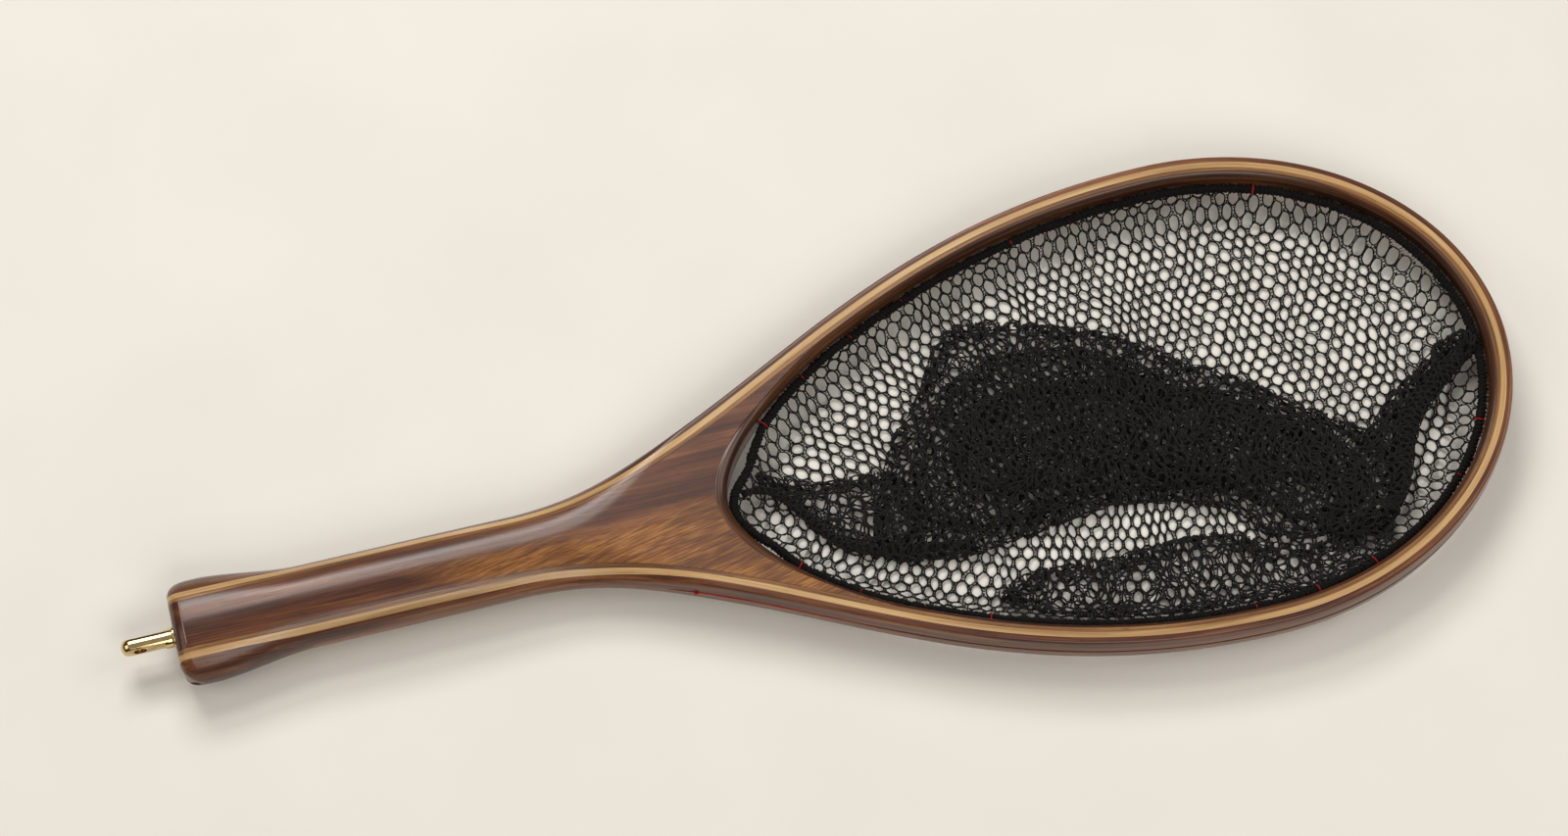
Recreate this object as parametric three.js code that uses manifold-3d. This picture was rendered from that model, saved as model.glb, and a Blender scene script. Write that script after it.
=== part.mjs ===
// Wooden trout landing net: bent laminations round a handle block, a netting bag laced into the hoop with
// red thread, and a brass swivel in the butt. Millimetres. +X runs from the butt to the hoop's tip, +Z is up.
import * as THREE from 'three';
import { mergeVertices } from 'three/addons/utils/BufferGeometryUtils.js';
import Module from 'manifold-3d';

const wasm = await Module();
wasm.setup();

// ---- Driving dimensions --------------------------------------------------------------------------------

// Plan of the frame: the centre line of the pale strip, one side of the mirror plane Y = 0.
const STRIP_HALF = 15; // half the distance between the two pale strips along the handle
const NECK_X = 158; // where the handle starts to flare
const NECK_PULL = 111.8; // Bezier handle at the neck
const WIDEST_X = 496; // where the hoop is widest
const WIDEST_PULL = 162; // Bezier handle at the widest place
const HOOP_HALF = 115; // half the hoop's width
const TIP_X = 634; // tip of the pale strip

// Offsets of the glue lines from that centre line, positive outwards, and the gap left at each of them.
const OUTER_FACE = 4.6;
const OUTER_GLUE = 1.4;
const INNER_GLUE = -1.4;
const RING_GLUE = -3.4;
const RING_FACE = -5.8;
const GLUE_GAP = 0.3;

// Thickness of the frame, about its middle plane.
const GRIP_HALF_HEIGHT = 16;
const HOOP_HALF_HEIGHT = 9.5;
const THIN_FROM_X = 100;
const THIN_TO_X = 235;
const MIDDLE_Z = GRIP_HALF_HEIGHT;

// How the edges are rolled over: an oval grip that turns into a square-edged hoop.
const GRIP_ROLL = STRIP_HALF + OUTER_FACE;
const GRIP_ROLL_SHARE = 0.95;
const HOOP_ROLL = 1.6;
const HOOP_ROLL_DEPTH = 2;
const ROLL_FROM_X = 185;
const ROLL_TO_X = 255;
const SIDE_CROWN = 0.5;
const MOUTH_ROLL = 3.6;
const MOUTH_ROLL_DEPTH = 4.5;
const BUTT_ROLL = 6.5;

// Swells glued on either side of the butt.
const CHEEK = 5.5;
const CHEEK_FULL_X = 12;
const CHEEK_END_X = 60;
const BUTT_FLAT_HALF = 16;
const BUTT_CORNER = 9;
const BUTT_SETTLE_X = 24; // where a section no longer follows the round butt

// Throat, where the ring crosses in front of the handle block.
const THROAT_X = 261.5;
const THROAT_PULL = 26;
const THROAT_EXTRA = 3; // the ring is thicker here than along the hoop
const THROAT_EXTRA_END_X = 300;
const THROAT_RISE = 0.8; // and stands proud of the block
const THROAT_RISE_WIDTH = 1.9;
const THROAT_ROLL = 6.2;
const THROAT_ROLL_X = 285;
const RING_JOIN_X = 322;
const RING_JOIN_PULL = 30;

// Lacing: a groove round the outside of the hoop, holes through the wood, and thread.
const GROOVE_START_X = 224;
const GROOVE_FULL_X = 236;
const GROOVE_DEPTH = 1.25;
const GROOVE_HALF = 0.95;
const THREAD_RADIUS = 0.45;
const STITCH_RADIUS = 0.4;
const STITCH_COUNT = 28;
const STITCH_FIRST_X = 284;
const HOLE_RADIUS = 0.85;

// Hem and bag.
const HEM_RADIUS = 1.6;
const HEM_STANDOFF = 1.6;
const STITCH_LOOP = HEM_RADIUS + 0.75;
const NET_THICKNESS = 1.5;
const RIM_TOP = MIDDLE_Z - 3.1;
const RIM_INSET = 1.2;
const BAG_DROP = 15;
const FOLD_HEIGHT = 7;
const FOLD_CENTRE = new THREE.Vector2(440, -8);
const FOLD_REACH = new THREE.Vector2(125, 52);
const KEEL_HALF = 1.5;
const PART_GAP = 0.3;

// Swivel in the butt.
const POST_RADIUS = 4.5;
const POST_LENGTH = 25.5;
const TONGUE_HALF = 2.8;
const TONGUE_START = 5;
const EYE_RADIUS = 3;
const EYE_X = -17;
const SHAFT_RADIUS = 2.5;
const SHAFT_CLEARANCE = 0.1;
const SLEEVE_RADIUS = 4;
const SLEEVE_LENGTH = 18;
const FLANGE_RADIUS = 5.6;
const FLANGE_THICKNESS = 1;
const CLIP_RADIUS = 3.7;
const CLIP_THICKNESS = 0.9;
const CLIP_GROOVE_RADIUS = 2;
const SHAFT_END = 21.5;
const BORE_RADIUS = SLEEVE_RADIUS + PART_GAP;
const BORE_DEPTH = 23;

// ---- Materials -----------------------------------------------------------------------------------------

function material(color, roughness, metalness = 0) {
  return new THREE.MeshStandardMaterial({ color, roughness, metalness });
}

const walnut = material(0x6b4630, 0.3);
const darkWalnut = material(0x5a3722, 0.3);
const maple = material(0xd2ac74, 0.3);
const ringWood = material(0x6e3a20, 0.25);
const brass = material(0xc9a24b, 0.2, 1);
const netting = material(0x161412, 0.9);
const redThread = material(0xa51a1a, 0.7);

// ---- Small helpers -------------------------------------------------------------------------------------

const mix = THREE.MathUtils.lerp;
const smooth = THREE.MathUtils.smoothstep;
const v3 = (x, y, z) => new THREE.Vector3(x, y, z);

function geometryFrom(points, triangles) {
  const geometry = new THREE.BufferGeometry();
  geometry.setAttribute('position', new THREE.Float32BufferAttribute(points.flatMap((p) => p.toArray()), 3));
  geometry.setIndex(triangles);
  return geometry;
}

// Skins a row of sections, each an array of the same number of points counter-clockwise about the run.
function loft(sections, closed = false) {
  const count = sections[0].length;
  const points = sections.flat();
  const triangles = [];
  const last = closed ? sections.length : sections.length - 1;
  for (let i = 0; i < last; i += 1) {
    const here = i * count;
    const next = ((i + 1) % sections.length) * count;
    for (let j = 0; j < count; j += 1) {
      const k = (j + 1) % count;
      triangles.push(here + j, next + k, next + j, here + j, here + k, next + k);
    }
  }
  if (!closed) {
    const end = (sections.length - 1) * count;
    for (const [a, b, c] of capTriangles(sections[0])) {
      triangles.push(c, b, a);
    }
    for (const [a, b, c] of capTriangles(sections[sections.length - 1])) {
      triangles.push(end + a, end + b, end + c);
    }
  }
  return outward(geometryFrom(points, triangles));
}

// Triangulates one end section in the plane that it faces.
function capTriangles(section) {
  const normal = v3(0, 0, 0);
  section.forEach((p, i) => normal.add(p.clone().cross(section[(i + 1) % section.length])));
  normal.normalize();
  const across = section[1].clone().sub(section[0]).normalize();
  const up = normal.clone().cross(across);
  const flat = section.map((p) => new THREE.Vector2(p.dot(across), p.dot(up)));
  return THREE.ShapeUtils.triangulateShape(flat, []);
}

// Turns a closed geometry right side out.
function outward(geometry) {
  const solid = mergedPositions(geometry);
  const p = solid.getAttribute('position');
  const index = solid.getIndex().array;
  const [a, b, c] = [v3(0, 0, 0), v3(0, 0, 0), v3(0, 0, 0)];
  let volume = 0;
  for (let i = 0; i < index.length; i += 3) {
    a.fromBufferAttribute(p, index[i]);
    b.fromBufferAttribute(p, index[i + 1]);
    c.fromBufferAttribute(p, index[i + 2]);
    volume += a.dot(b.cross(c));
  }
  if (volume < 0) {
    solid.setIndex([...index].reverse());
  }
  return solid;
}

function mergedPositions(geometry) {
  const bare = geometry.clone();
  bare.deleteAttribute('normal');
  bare.deleteAttribute('uv');
  return mergeVertices(bare, 1e-4);
}

function toSolid(geometry) {
  const bare = mergedPositions(geometry);
  return new wasm.Manifold(new wasm.Mesh({
    numProp: 3,
    vertProperties: new Float32Array(bare.getAttribute('position').array),
    triVerts: new Uint32Array(bare.getIndex().array),
  }));
}

function toGeometry(solid) {
  const mesh = solid.getMesh();
  const geometry = new THREE.BufferGeometry();
  geometry.setAttribute('position', new THREE.BufferAttribute(new Float32Array(mesh.vertProperties), 3));
  geometry.setIndex([...mesh.triVerts]);
  return geometry;
}

// A cylinder between two places on a line.
function rod(from, to, radius, sides = 24) {
  const run = to.clone().sub(from);
  const geometry = new THREE.CylinderGeometry(radius, radius, run.length(), sides);
  geometry.applyQuaternion(new THREE.Quaternion().setFromUnitVectors(v3(0, 1, 0), run.clone().normalize()));
  geometry.translate(...from.clone().add(to).multiplyScalar(0.5).toArray());
  return geometry;
}

function axialRod(fromX, toX, radius, sides = 24) {
  return toSolid(rod(v3(fromX, 0, MIDDLE_Z), v3(toX, 0, MIDDLE_Z), radius, sides));
}

// ---- Plan of the frame ---------------------------------------------------------------------------------

// One side of the frame, butt to tip, as stations with a place and an outward normal in plan.
const flank = new THREE.CubicBezierCurve3(
  v3(NECK_X, STRIP_HALF, 0),
  v3(NECK_X + NECK_PULL, STRIP_HALF, 0),
  v3(WIDEST_X - WIDEST_PULL, HOOP_HALF, 0),
  v3(WIDEST_X, HOOP_HALF, 0),
);

function tipPoint(t) {
  const angle = (t * Math.PI) / 2;
  return {
    x: WIDEST_X + (TIP_X - WIDEST_X) * Math.sin(angle),
    y: HOOP_HALF * Math.cos(angle),
    normal: new THREE.Vector2(Math.sin(angle) * HOOP_HALF, Math.cos(angle) * (TIP_X - WIDEST_X)).normalize(),
  };
}

function flankPoint(t) {
  const p = flank.getPoint(t);
  const along = flank.getTangent(t);
  return { x: p.x, y: p.y, normal: new THREE.Vector2(-along.y, along.x) };
}

function handlePoint(x) {
  return { x, y: STRIP_HALF, normal: new THREE.Vector2(0, 1) };
}

const mirrored = (s) => ({ x: s.x, y: -s.y, normal: new THREE.Vector2(s.normal.x, -s.normal.y) });

function steps(count, make, first = 0) {
  return Array.from({ length: count + 1 - first }, (_, i) => make((i + first) / count));
}

const HANDLE_STATIONS = [0, 0.8, 2.6, BUTT_ROLL, 14, 24, 36, 48, CHEEK_END_X, 85, 110, 134].map(handlePoint);
const farSide = [...HANDLE_STATIONS, ...steps(14, flankPoint), ...steps(12, tipPoint, 1)];
const wholeRun = [...farSide, ...farSide.slice(0, -1).reverse().map(mirrored)];

// Where a place lies against the centre line: x of the nearest place on it and the offset from it.
const fineRun = [
  ...steps(60, (t) => handlePoint(t * NECK_X)),
  ...steps(200, flankPoint, 1),
  ...steps(160, tipPoint, 1),
];

function nearest(x, y) {
  let best = fineRun[0];
  let bestDistance = Infinity;
  for (const s of fineRun) {
    const distance = Math.hypot(s.x - x, s.y - Math.abs(y));
    if (distance < bestDistance) {
      best = s;
      bestDistance = distance;
    }
  }
  const offset = (x - best.x) * best.normal.x + (Math.abs(y) - best.y) * best.normal.y;
  return { x: best.x, offset };
}

// ---- Skin of the frame ---------------------------------------------------------------------------------

const cheekAt = (x) => CHEEK * (1 - smooth(x, CHEEK_FULL_X, CHEEK_END_X + 2));
const halfHeight = (x) => mix(GRIP_HALF_HEIGHT, HOOP_HALF_HEIGHT, smooth(x, THIN_FROM_X, THIN_TO_X));

// The butt's end face in plan: flat, with round corners.
function buttX(y) {
  const beyond = Math.min(Math.max(Math.abs(y) - BUTT_FLAT_HALF, 0), BUTT_CORNER);
  return BUTT_CORNER - Math.sqrt(BUTT_CORNER ** 2 - beyond ** 2);
}

// Share of the height that is left at a distance from an edge rolled over by width and depth.
function rolled(distance, width, share) {
  const inside = Math.min(Math.max(distance / width, 0), 1);
  return 1 - share * (1 - Math.sqrt(1 - (1 - inside) ** 2));
}

// Half height of the wood at station x, offset from the centre line, and distances from mouth and butt.
function skin(x, offset, fromMouth, fromButt) {
  const height = halfHeight(x);
  const square = smooth(x, ROLL_FROM_X, ROLL_TO_X);
  const width = mix(GRIP_ROLL + cheekAt(x), HOOP_ROLL, square);
  const share = mix(GRIP_ROLL_SHARE, HOOP_ROLL_DEPTH / HOOP_HALF_HEIGHT, square);
  const outer = rolled(OUTER_FACE + cheekAt(x) - offset, width, share);
  const mouthWidth = mix(THROAT_ROLL, MOUTH_ROLL, smooth(x, THROAT_ROLL_X, RING_JOIN_X));
  const mouth = rolled(fromMouth, mouthWidth, MOUTH_ROLL_DEPTH / HOOP_HALF_HEIGHT);
  const end = rolled(fromButt, BUTT_ROLL, BUTT_ROLL / height);
  return height * outer * mouth * end;
}

// A place on a station's section, moved onto the round butt face at the butt.
function placeAt(station, offset, z) {
  const y = station.y + offset * station.normal.y;
  const x = station.x + offset * station.normal.x;
  const cornerShift = buttX(y) * (1 - smooth(station.x, 0, BUTT_SETTLE_X));
  return v3(x + cornerShift, y, MIDDLE_Z + z);
}

const stationHeight = (s, offset) => skin(s.x, offset, Infinity, s.x);

// A strip of wood with a plain four-cornered section between two offsets.
function plainStrip(run, inner, outer) {
  return loft(run.map((s) => {
    const [a, b] = [stationHeight(s, inner), stationHeight(s, outer)];
    return [placeAt(s, inner, -a), placeAt(s, outer, -b), placeAt(s, outer, b), placeAt(s, inner, a)];
  }));
}

// ---- Wood ----------------------------------------------------------------------------------------------

const grooveAt = (x) => smooth(x, GROOVE_START_X, GROOVE_FULL_X);
const crownAt = (x) => SIDE_CROWN * smooth(x, ROLL_FROM_X, ROLL_TO_X);

function outerSection(s) {
  const inner = OUTER_GLUE + GLUE_GAP / 2;
  const top = [0, 0.4, 0.72, 0.92, 1].map((share) => {
    const offset = mix(inner, OUTER_FACE, share);
    return [offset, stationHeight(s, offset)];
  });
  const edge = top[4][1];
  const brow = Math.min(GROOVE_HALF, edge * 0.6);
  const face = OUTER_FACE + crownAt(s.x);
  const floor = face - GROOVE_DEPTH * grooveAt(s.x);
  const side = [[face, brow], [floor, brow * 0.9], [floor, -brow * 0.9], [face, -brow]];
  const bottom = top.map(([offset, z]) => [offset, -z]).reverse();
  return [...top, ...side, ...bottom].reverse().map(([offset, z]) => placeAt(s, offset, z));
}

function cheek(sign) {
  const run = HANDLE_STATIONS.filter((s) => s.x <= CHEEK_END_X);
  const inner = OUTER_FACE + GLUE_GAP;
  return loft(run.map((s) => {
    const station = sign > 0 ? s : mirrored(s);
    const outer = Math.max(OUTER_FACE + cheekAt(s.x), inner + 0.3);
    const top = [0, 0.5, 0.85, 1].map((share) => {
      const offset = mix(inner, outer, share);
      return [offset, stationHeight(s, offset)];
    });
    const bottom = top.map(([offset, z]) => [offset, -z]).reverse();
    return [...top, ...bottom].map(([offset, z]) => placeAt(station, offset, z));
  }));
}

// The ring's centre line, one side, throat to tip.
const RING_MIDDLE = (RING_GLUE - GLUE_GAP / 2 + RING_FACE) / 2;
const RING_HALF = (RING_GLUE - GLUE_GAP / 2 - RING_FACE) / 2;

function offsetPoint(s, offset) {
  return v3(s.x + offset * s.normal.x, s.y + offset * s.normal.y, 0);
}

function ringSide() {
  const limb = farSide.filter((s) => offsetPoint(s, RING_MIDDLE).x > RING_JOIN_X);
  const join = offsetPoint(limb[0], RING_MIDDLE);
  const along = v3(-limb[0].normal.y, limb[0].normal.x, 0);
  const apex = v3(THROAT_X - RING_HALF, 0, 0);
  const throat = new THREE.CubicBezierCurve3(
    apex,
    apex.clone().add(v3(0, THROAT_PULL, 0)),
    join.clone().addScaledVector(along, RING_JOIN_PULL),
    join,
  );
  const front = steps(8, (t) => {
    const p = throat.getPoint(t);
    const a = throat.getTangent(t);
    return { x: p.x, y: p.y, normal: new THREE.Vector2(-a.y, a.x) };
  });
  const rest = limb.slice(1).map((s) => {
    const p = offsetPoint(s, RING_MIDDLE);
    return { x: p.x, y: p.y, normal: s.normal };
  });
  return [...front, ...rest];
}

const ringFar = ringSide();
const ringLoop = [...ringFar, ...ringFar.slice(1, -1).reverse().map(mirrored)];

// Share of the throat's own shape that is left at a place on the ring.
const throatShare = (x) => 1 - smooth(x, THROAT_X, THROAT_EXTRA_END_X);
const ringBackOffset = (s) => RING_HALF + THROAT_EXTRA * throatShare(s.x);

function ringSection(s) {
  const shares = [0, 0.25, 0.6, 1];
  const back = ringBackOffset(s);
  const top = shares.map((share) => {
    const across = mix(-RING_HALF, back, share);
    const { x, offset } = nearest(s.x + across * s.normal.x, s.y + across * s.normal.y);
    const rise = THROAT_RISE * throatShare(s.x) * smooth(back - across, 0, THROAT_RISE_WIDTH);
    return [across, skin(x, offset, across + RING_HALF, Infinity) + rise];
  });
  const bottom = top.map(([across, z]) => [across, -z]).reverse();
  return [...top, ...bottom].map(([across, z]) => {
    const p = offsetPoint(s, across);
    return v3(p.x, p.y, MIDDLE_Z + z);
  });
}

// The block fills the handle between the inner strips and runs out in two horns beside the ring.
function handleBlock() {
  const faceOffset = RING_GLUE - GLUE_GAP / 2;
  const ringBack = ringFar.map((s) => offsetPoint(s, ringBackOffset(s) + GLUE_GAP));
  const hornEnd = ringBack.findIndex((p) => nearest(p.x, p.y).offset > faceOffset - 0.8) - 1;
  const back = ringBack.slice(0, hornEnd + 1);
  back[0].y = 0;
  const outerRun = farSide.filter((s) => s.x < WIDEST_X).map((s) => offsetPoint(s, faceOffset));
  const endX = back[back.length - 1].x;
  const handleRun = outerRun.filter((p) => p.x < THROAT_X - 12);
  const hornRun = back.slice(1).map((p) => {
    const share = (p.x - back[0].x) / (endX - back[0].x);
    return mix(THROAT_X - 2, endX + 1, share);
  });
  const outerAt = (x) => {
    const next = outerRun.findIndex((p) => p.x > x);
    const [a, b] = [outerRun[next - 1], outerRun[next]];
    return v3(x, mix(a.y, b.y, (x - a.x) / (b.x - a.x)), 0);
  };
  const pairs = [
    ...handleRun.map((p) => [v3(p.x, 0, 0), p]),
    [back[0], outerAt(THROAT_X - 7)],
    ...hornRun.map((x, i) => [back[i + 1], outerAt(x)]),
  ];
  const ACROSS = 4;
  const half = pairs.map(([inner, outer], row) => steps(ACROSS, (t) => {
    const share = 1 - (1 - t) ** 1.4;
    const y = mix(inner.y, outer.y, share);
    const x = row === 0 ? buttX(y) : mix(inner.x, outer.x, share);
    const { x: limbX, offset } = nearest(x, y);
    return v3(x, y, skin(limbX, offset, Infinity, row === 0 ? 0 : x));
  }));
  const wide = half.map((row) => {
    const far = row.map((p) => p.clone());
    const near = row.map((p) => v3(p.x, -p.y, p.z));
    return { far, near };
  });
  return blockShell(wide, handleRun.length);
}

// Closes the block: one plate of rows across the handle, then two horns that share its last row.
function blockShell(rows, forkRow) {
  const points = [];
  const triangles = [];
  const add = (p, sign) => points.push(v3(p.x, p.y, MIDDLE_Z + sign * p.z)) - 1;
  const grid = (rowsOfPoints, sign) => rowsOfPoints.map((row) => row.map((p) => add(p, sign)));
  const quad = (a, b, c, d) => triangles.push(a, b, c, a, c, d);
  const skinGrid = (ids, flip) => {
    for (let i = 0; i + 1 < ids.length; i += 1) {
      for (let j = 0; j + 1 < ids[i].length; j += 1) {
        const corners = [ids[i][j], ids[i + 1][j], ids[i + 1][j + 1], ids[i][j + 1]];
        quad(...(flip ? corners.reverse() : corners));
      }
    }
  };
  for (const side of ['far', 'near']) {
    const flip = side === 'near';
    const sheet = rows.map((row) => row[side]);
    const [top, bottom] = [grid(sheet, 1), grid(sheet, -1)];
    skinGrid(top, flip);
    skinGrid(bottom, !flip);
    const wall = (upper, lower, turned) => skinGrid([upper, lower], turned);
    const last = sheet[0].length - 1;
    wall(top.map((r) => r[last]), bottom.map((r) => r[last]), !flip);
    wall(top[0], bottom[0], !flip);
    wall(top[top.length - 1], bottom[bottom.length - 1], flip);
    wall(top.slice(forkRow).map((r) => r[0]), bottom.slice(forkRow).map((r) => r[0]), flip);
  }
  return geometryFrom(points, triangles);
}

// ---- Lacing --------------------------------------------------------------------------------------------

function hemCord() {
  const sides = 6;
  return loft(ringLoop.map((s) => Array.from({ length: sides }, (_, i) => {
    const angle = (2 * Math.PI * i) / sides;
    const across = -RING_HALF - HEM_STANDOFF - HEM_RADIUS + HEM_RADIUS * Math.cos(angle);
    const p = offsetPoint(s, across);
    return v3(p.x, p.y, MIDDLE_Z + HEM_RADIUS * Math.sin(angle));
  })), true);
}

// Stitches stand at even steps round the ring, from one side of the throat to the other.
function stitchStations() {
  const side = ringFar.filter((s) => s.x >= STITCH_FIRST_X);
  const run = [...side.map(mirrored), ...side.slice(0, -1).reverse()];
  const curve = new THREE.CatmullRomCurve3(run.map((s) => v3(s.x, s.y, 0)), false, 'centripetal');
  return steps(STITCH_COUNT - 1, (t) => {
    const p = curve.getPointAt(t);
    const along = curve.getTangentAt(t);
    return { x: p.x, y: p.y, normal: new THREE.Vector2(along.y, -along.x) };
  });
}

const stitches = stitchStations();

// Distance along a stitch's own line from the ring's middle to the bottom of the groove.
function grooveFloorDistance(s) {
  const step = 0.25;
  let reach = 0;
  let place = offsetPoint(s, reach);
  while (nearest(place.x, place.y).offset < OUTER_FACE + SIDE_CROWN - GROOVE_DEPTH - PART_GAP) {
    reach += step;
    place = offsetPoint(s, reach);
  }
  return reach;
}

function stitchHole(s) {
  const [a, b] = [offsetPoint(s, -RING_HALF - 1), offsetPoint(s, grooveFloorDistance(s) + 4)];
  return toSolid(rod(v3(a.x, a.y, MIDDLE_Z), v3(b.x, b.y, MIDDLE_Z), HOLE_RADIUS, 4));
}

function stitch(s) {
  const centre = -RING_HALF - HEM_STANDOFF - HEM_RADIUS;
  const at = (across, z) => {
    const p = offsetPoint(s, across);
    return v3(p.x, p.y, MIDDLE_Z + z);
  };
  const loop = steps(7, (t) => {
    const angle = mix(0.25, 1.8 * Math.PI, t);
    return at(centre + STITCH_LOOP * Math.cos(angle), STITCH_LOOP * Math.sin(angle));
  });
  return tubeThrough([at(grooveFloorDistance(s), 0), at(-RING_HALF - 0.5, 0), ...loop], STITCH_RADIUS, 5);
}

// A tube with one ring of corners at each given place.
function tubeThrough(places, radius, sides) {
  const sections = places.map((p, i) => {
    const before = places[Math.max(i - 1, 0)];
    const after = places[Math.min(i + 1, places.length - 1)];
    const run = after.clone().sub(before).normalize();
    const flatRun = v3(places[1].x - places[0].x, places[1].y - places[0].y, 0).normalize();
    const side = v3(-flatRun.y, flatRun.x, 0);
    const up = side.clone().cross(run).normalize();
    return Array.from({ length: sides }, (_, k) => {
      const angle = (2 * Math.PI * k) / sides;
      const spoke = side.clone().multiplyScalar(Math.cos(angle)).addScaledVector(up, Math.sin(angle));
      return p.clone().addScaledVector(spoke, radius);
    });
  });
  return loft(sections);
}

function grooveThread() {
  const run = wholeRun.filter((s) => s.x > GROOVE_FULL_X);
  const sides = 6;
  return loft(run.map((s) => Array.from({ length: sides }, (_, i) => {
    const angle = (2 * Math.PI * i) / sides;
    const offset = OUTER_FACE + crownAt(s.x) - THREAD_RADIUS + THREAD_RADIUS * Math.cos(angle);
    const p = offsetPoint(s, offset);
    return v3(p.x, p.y, MIDDLE_Z + THREAD_RADIUS * Math.sin(angle));
  })));
}

// ---- Bag -----------------------------------------------------------------------------------------------

// Extra height where the slack netting lies folded on itself.
function foldHeight(x, y) {
  const away = Math.hypot((x - FOLD_CENTRE.x) / FOLD_REACH.x, (y - FOLD_CENTRE.y) / FOLD_REACH.y);
  return FOLD_HEIGHT * (1 - smooth(away, 0.5, 1));
}

function bagPanel(sign) {
  const keelY = KEEL_HALF + PART_GAP;
  const rim = ringFar.map((s) => offsetPoint(s, -RING_HALF - RIM_INSET)).filter((p) => p.y > 12);
  const columns = [0, 0.1, 0.22, 0.36, 0.52, 0.76, 1];
  const [firstX, lastX] = [rim[0].x, rim[rim.length - 1].x];
  const sheet = rim.map((p) => {
    const keel = v3(mix(firstX + 2, lastX - 2, (p.x - firstX) / (lastX - firstX)), keelY, 0);
    return columns.map((share) => {
      const place = p.clone().lerp(keel, share);
      const down = smooth(place.distanceTo(p), 0, BAG_DROP);
      const bottom = mix(RIM_TOP - NET_THICKNESS, 0, down);
      place.y *= sign;
      return { place, bottom, top: bottom + NET_THICKNESS + foldHeight(place.x, place.y) * down };
    });
  });
  const sections = sheet.map((row) => [
    ...row.map(({ place, bottom }) => v3(place.x, place.y, bottom)),
    ...[...row].reverse().map(({ place, top }) => v3(place.x, place.y, top)),
  ]);
  return loft(sections);
}

function keelSeam() {
  const fromX = THROAT_X + HEM_STANDOFF + 2 * HEM_RADIUS + 1;
  const toX = TIP_X + RING_FACE - HEM_STANDOFF - 2 * HEM_RADIUS - 1;
  const places = steps(14, (t) => mix(fromX, toX, t));
  return loft(places.map((x) => {
    const fromEnd = Math.min(x - fromX, toX - x);
    const bottom = mix(RIM_TOP - NET_THICKNESS, 0, smooth(fromEnd, 0, BAG_DROP));
    const top = bottom + NET_THICKNESS + 1.5 + foldHeight(x, 0) * smooth(fromEnd, 0, BAG_DROP);
    return [[-1, bottom], [1, bottom], [1, top - 0.8], [0.4, top], [-0.4, top], [-1, top - 0.8]]
      .map(([side, z]) => v3(x, side * KEEL_HALF, z));
  }));
}

// ---- Swivel --------------------------------------------------------------------------------------------

// The post's outline on its axis: shaft with a clip groove, then the domed head outside the wood.
function postGeometry() {
  const headBack = FLANGE_THICKNESS + PART_GAP;
  const dome = steps(6, (t) => {
    const angle = (t * Math.PI) / 2;
    return [POST_LENGTH - POST_RADIUS + POST_RADIUS * Math.sin(angle), POST_RADIUS * Math.cos(angle)];
  }).slice(0, -1);
  const outline = [
    [-SHAFT_END, 0],
    [-SHAFT_END, SHAFT_RADIUS - 0.4],
    [-SHAFT_END + 0.4, SHAFT_RADIUS],
    [-SLEEVE_LENGTH - CLIP_THICKNESS - 2 * PART_GAP, SHAFT_RADIUS],
    [-SLEEVE_LENGTH - CLIP_THICKNESS - 2 * PART_GAP, CLIP_GROOVE_RADIUS],
    [-SLEEVE_LENGTH - 0.2, CLIP_GROOVE_RADIUS],
    [-SLEEVE_LENGTH - 0.2, SHAFT_RADIUS],
    [headBack, SHAFT_RADIUS],
    [headBack, POST_RADIUS - 0.5],
    [headBack + 0.5, POST_RADIUS],
    ...dome,
    [POST_LENGTH, 0],
  ];
  const lathe = new THREE.LatheGeometry(outline.map(([out, r]) => new THREE.Vector2(r, out)), 24);
  lathe.rotateZ(Math.PI / 2);
  lathe.translate(0, 0, MIDDLE_Z);
  return outward(lathe);
}

function swivelPost() {
  let solid = toSolid(postGeometry());
  const long = POST_LENGTH - TONGUE_START + 1;
  for (const sign of [-1, 1]) {
    const flat = new THREE.BoxGeometry(long, POST_RADIUS, 3 * POST_RADIUS);
    flat.translate(-TONGUE_START - long / 2, sign * (TONGUE_HALF + POST_RADIUS / 2), MIDDLE_Z);
    solid = solid.subtract(toSolid(flat));
  }
  const eye = rod(v3(EYE_X, -POST_RADIUS, MIDDLE_Z), v3(EYE_X, POST_RADIUS, MIDDLE_Z), EYE_RADIUS, 16);
  return toGeometry(solid.subtract(toSolid(eye)));
}

function swivelSleeve() {
  const overlap = 0.2;
  const barrel = axialRod(-overlap, SLEEVE_LENGTH, SLEEVE_RADIUS);
  const flange = axialRod(-FLANGE_THICKNESS, 0, FLANGE_RADIUS);
  const bore = axialRod(-5, SLEEVE_LENGTH + 5, SHAFT_RADIUS + SHAFT_CLEARANCE);
  return toGeometry(barrel.add(flange).subtract(bore));
}

function swivelClip() {
  const from = SLEEVE_LENGTH + PART_GAP;
  const to = from + CLIP_THICKNESS;
  const hole = axialRod(from - 1, to + 1, CLIP_GROOVE_RADIUS + SHAFT_CLEARANCE);
  const disc = axialRod(from, to, CLIP_RADIUS).subtract(hole);
  const slit = new THREE.BoxGeometry(CLIP_THICKNESS + 2, 1.6, CLIP_RADIUS + 1);
  slit.translate((from + to) / 2, 0, MIDDLE_Z + (CLIP_RADIUS + 1) / 2);
  return toGeometry(disc.subtract(toSolid(slit)));
}

// ---- Assembly ------------------------------------------------------------------------------------------

const net = new THREE.Group();
net.name = 'landing_net';

function addPart(name, geometry, look) {
  const mesh = new THREE.Mesh(geometry, look);
  mesh.name = name;
  net.add(mesh);
}

const drills = stitches.map(stitchHole);
const half = GLUE_GAP / 2;

function drilled(geometry) {
  return toGeometry(drills.reduce((solid, drill) => solid.subtract(drill), toSolid(geometry)));
}

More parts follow.
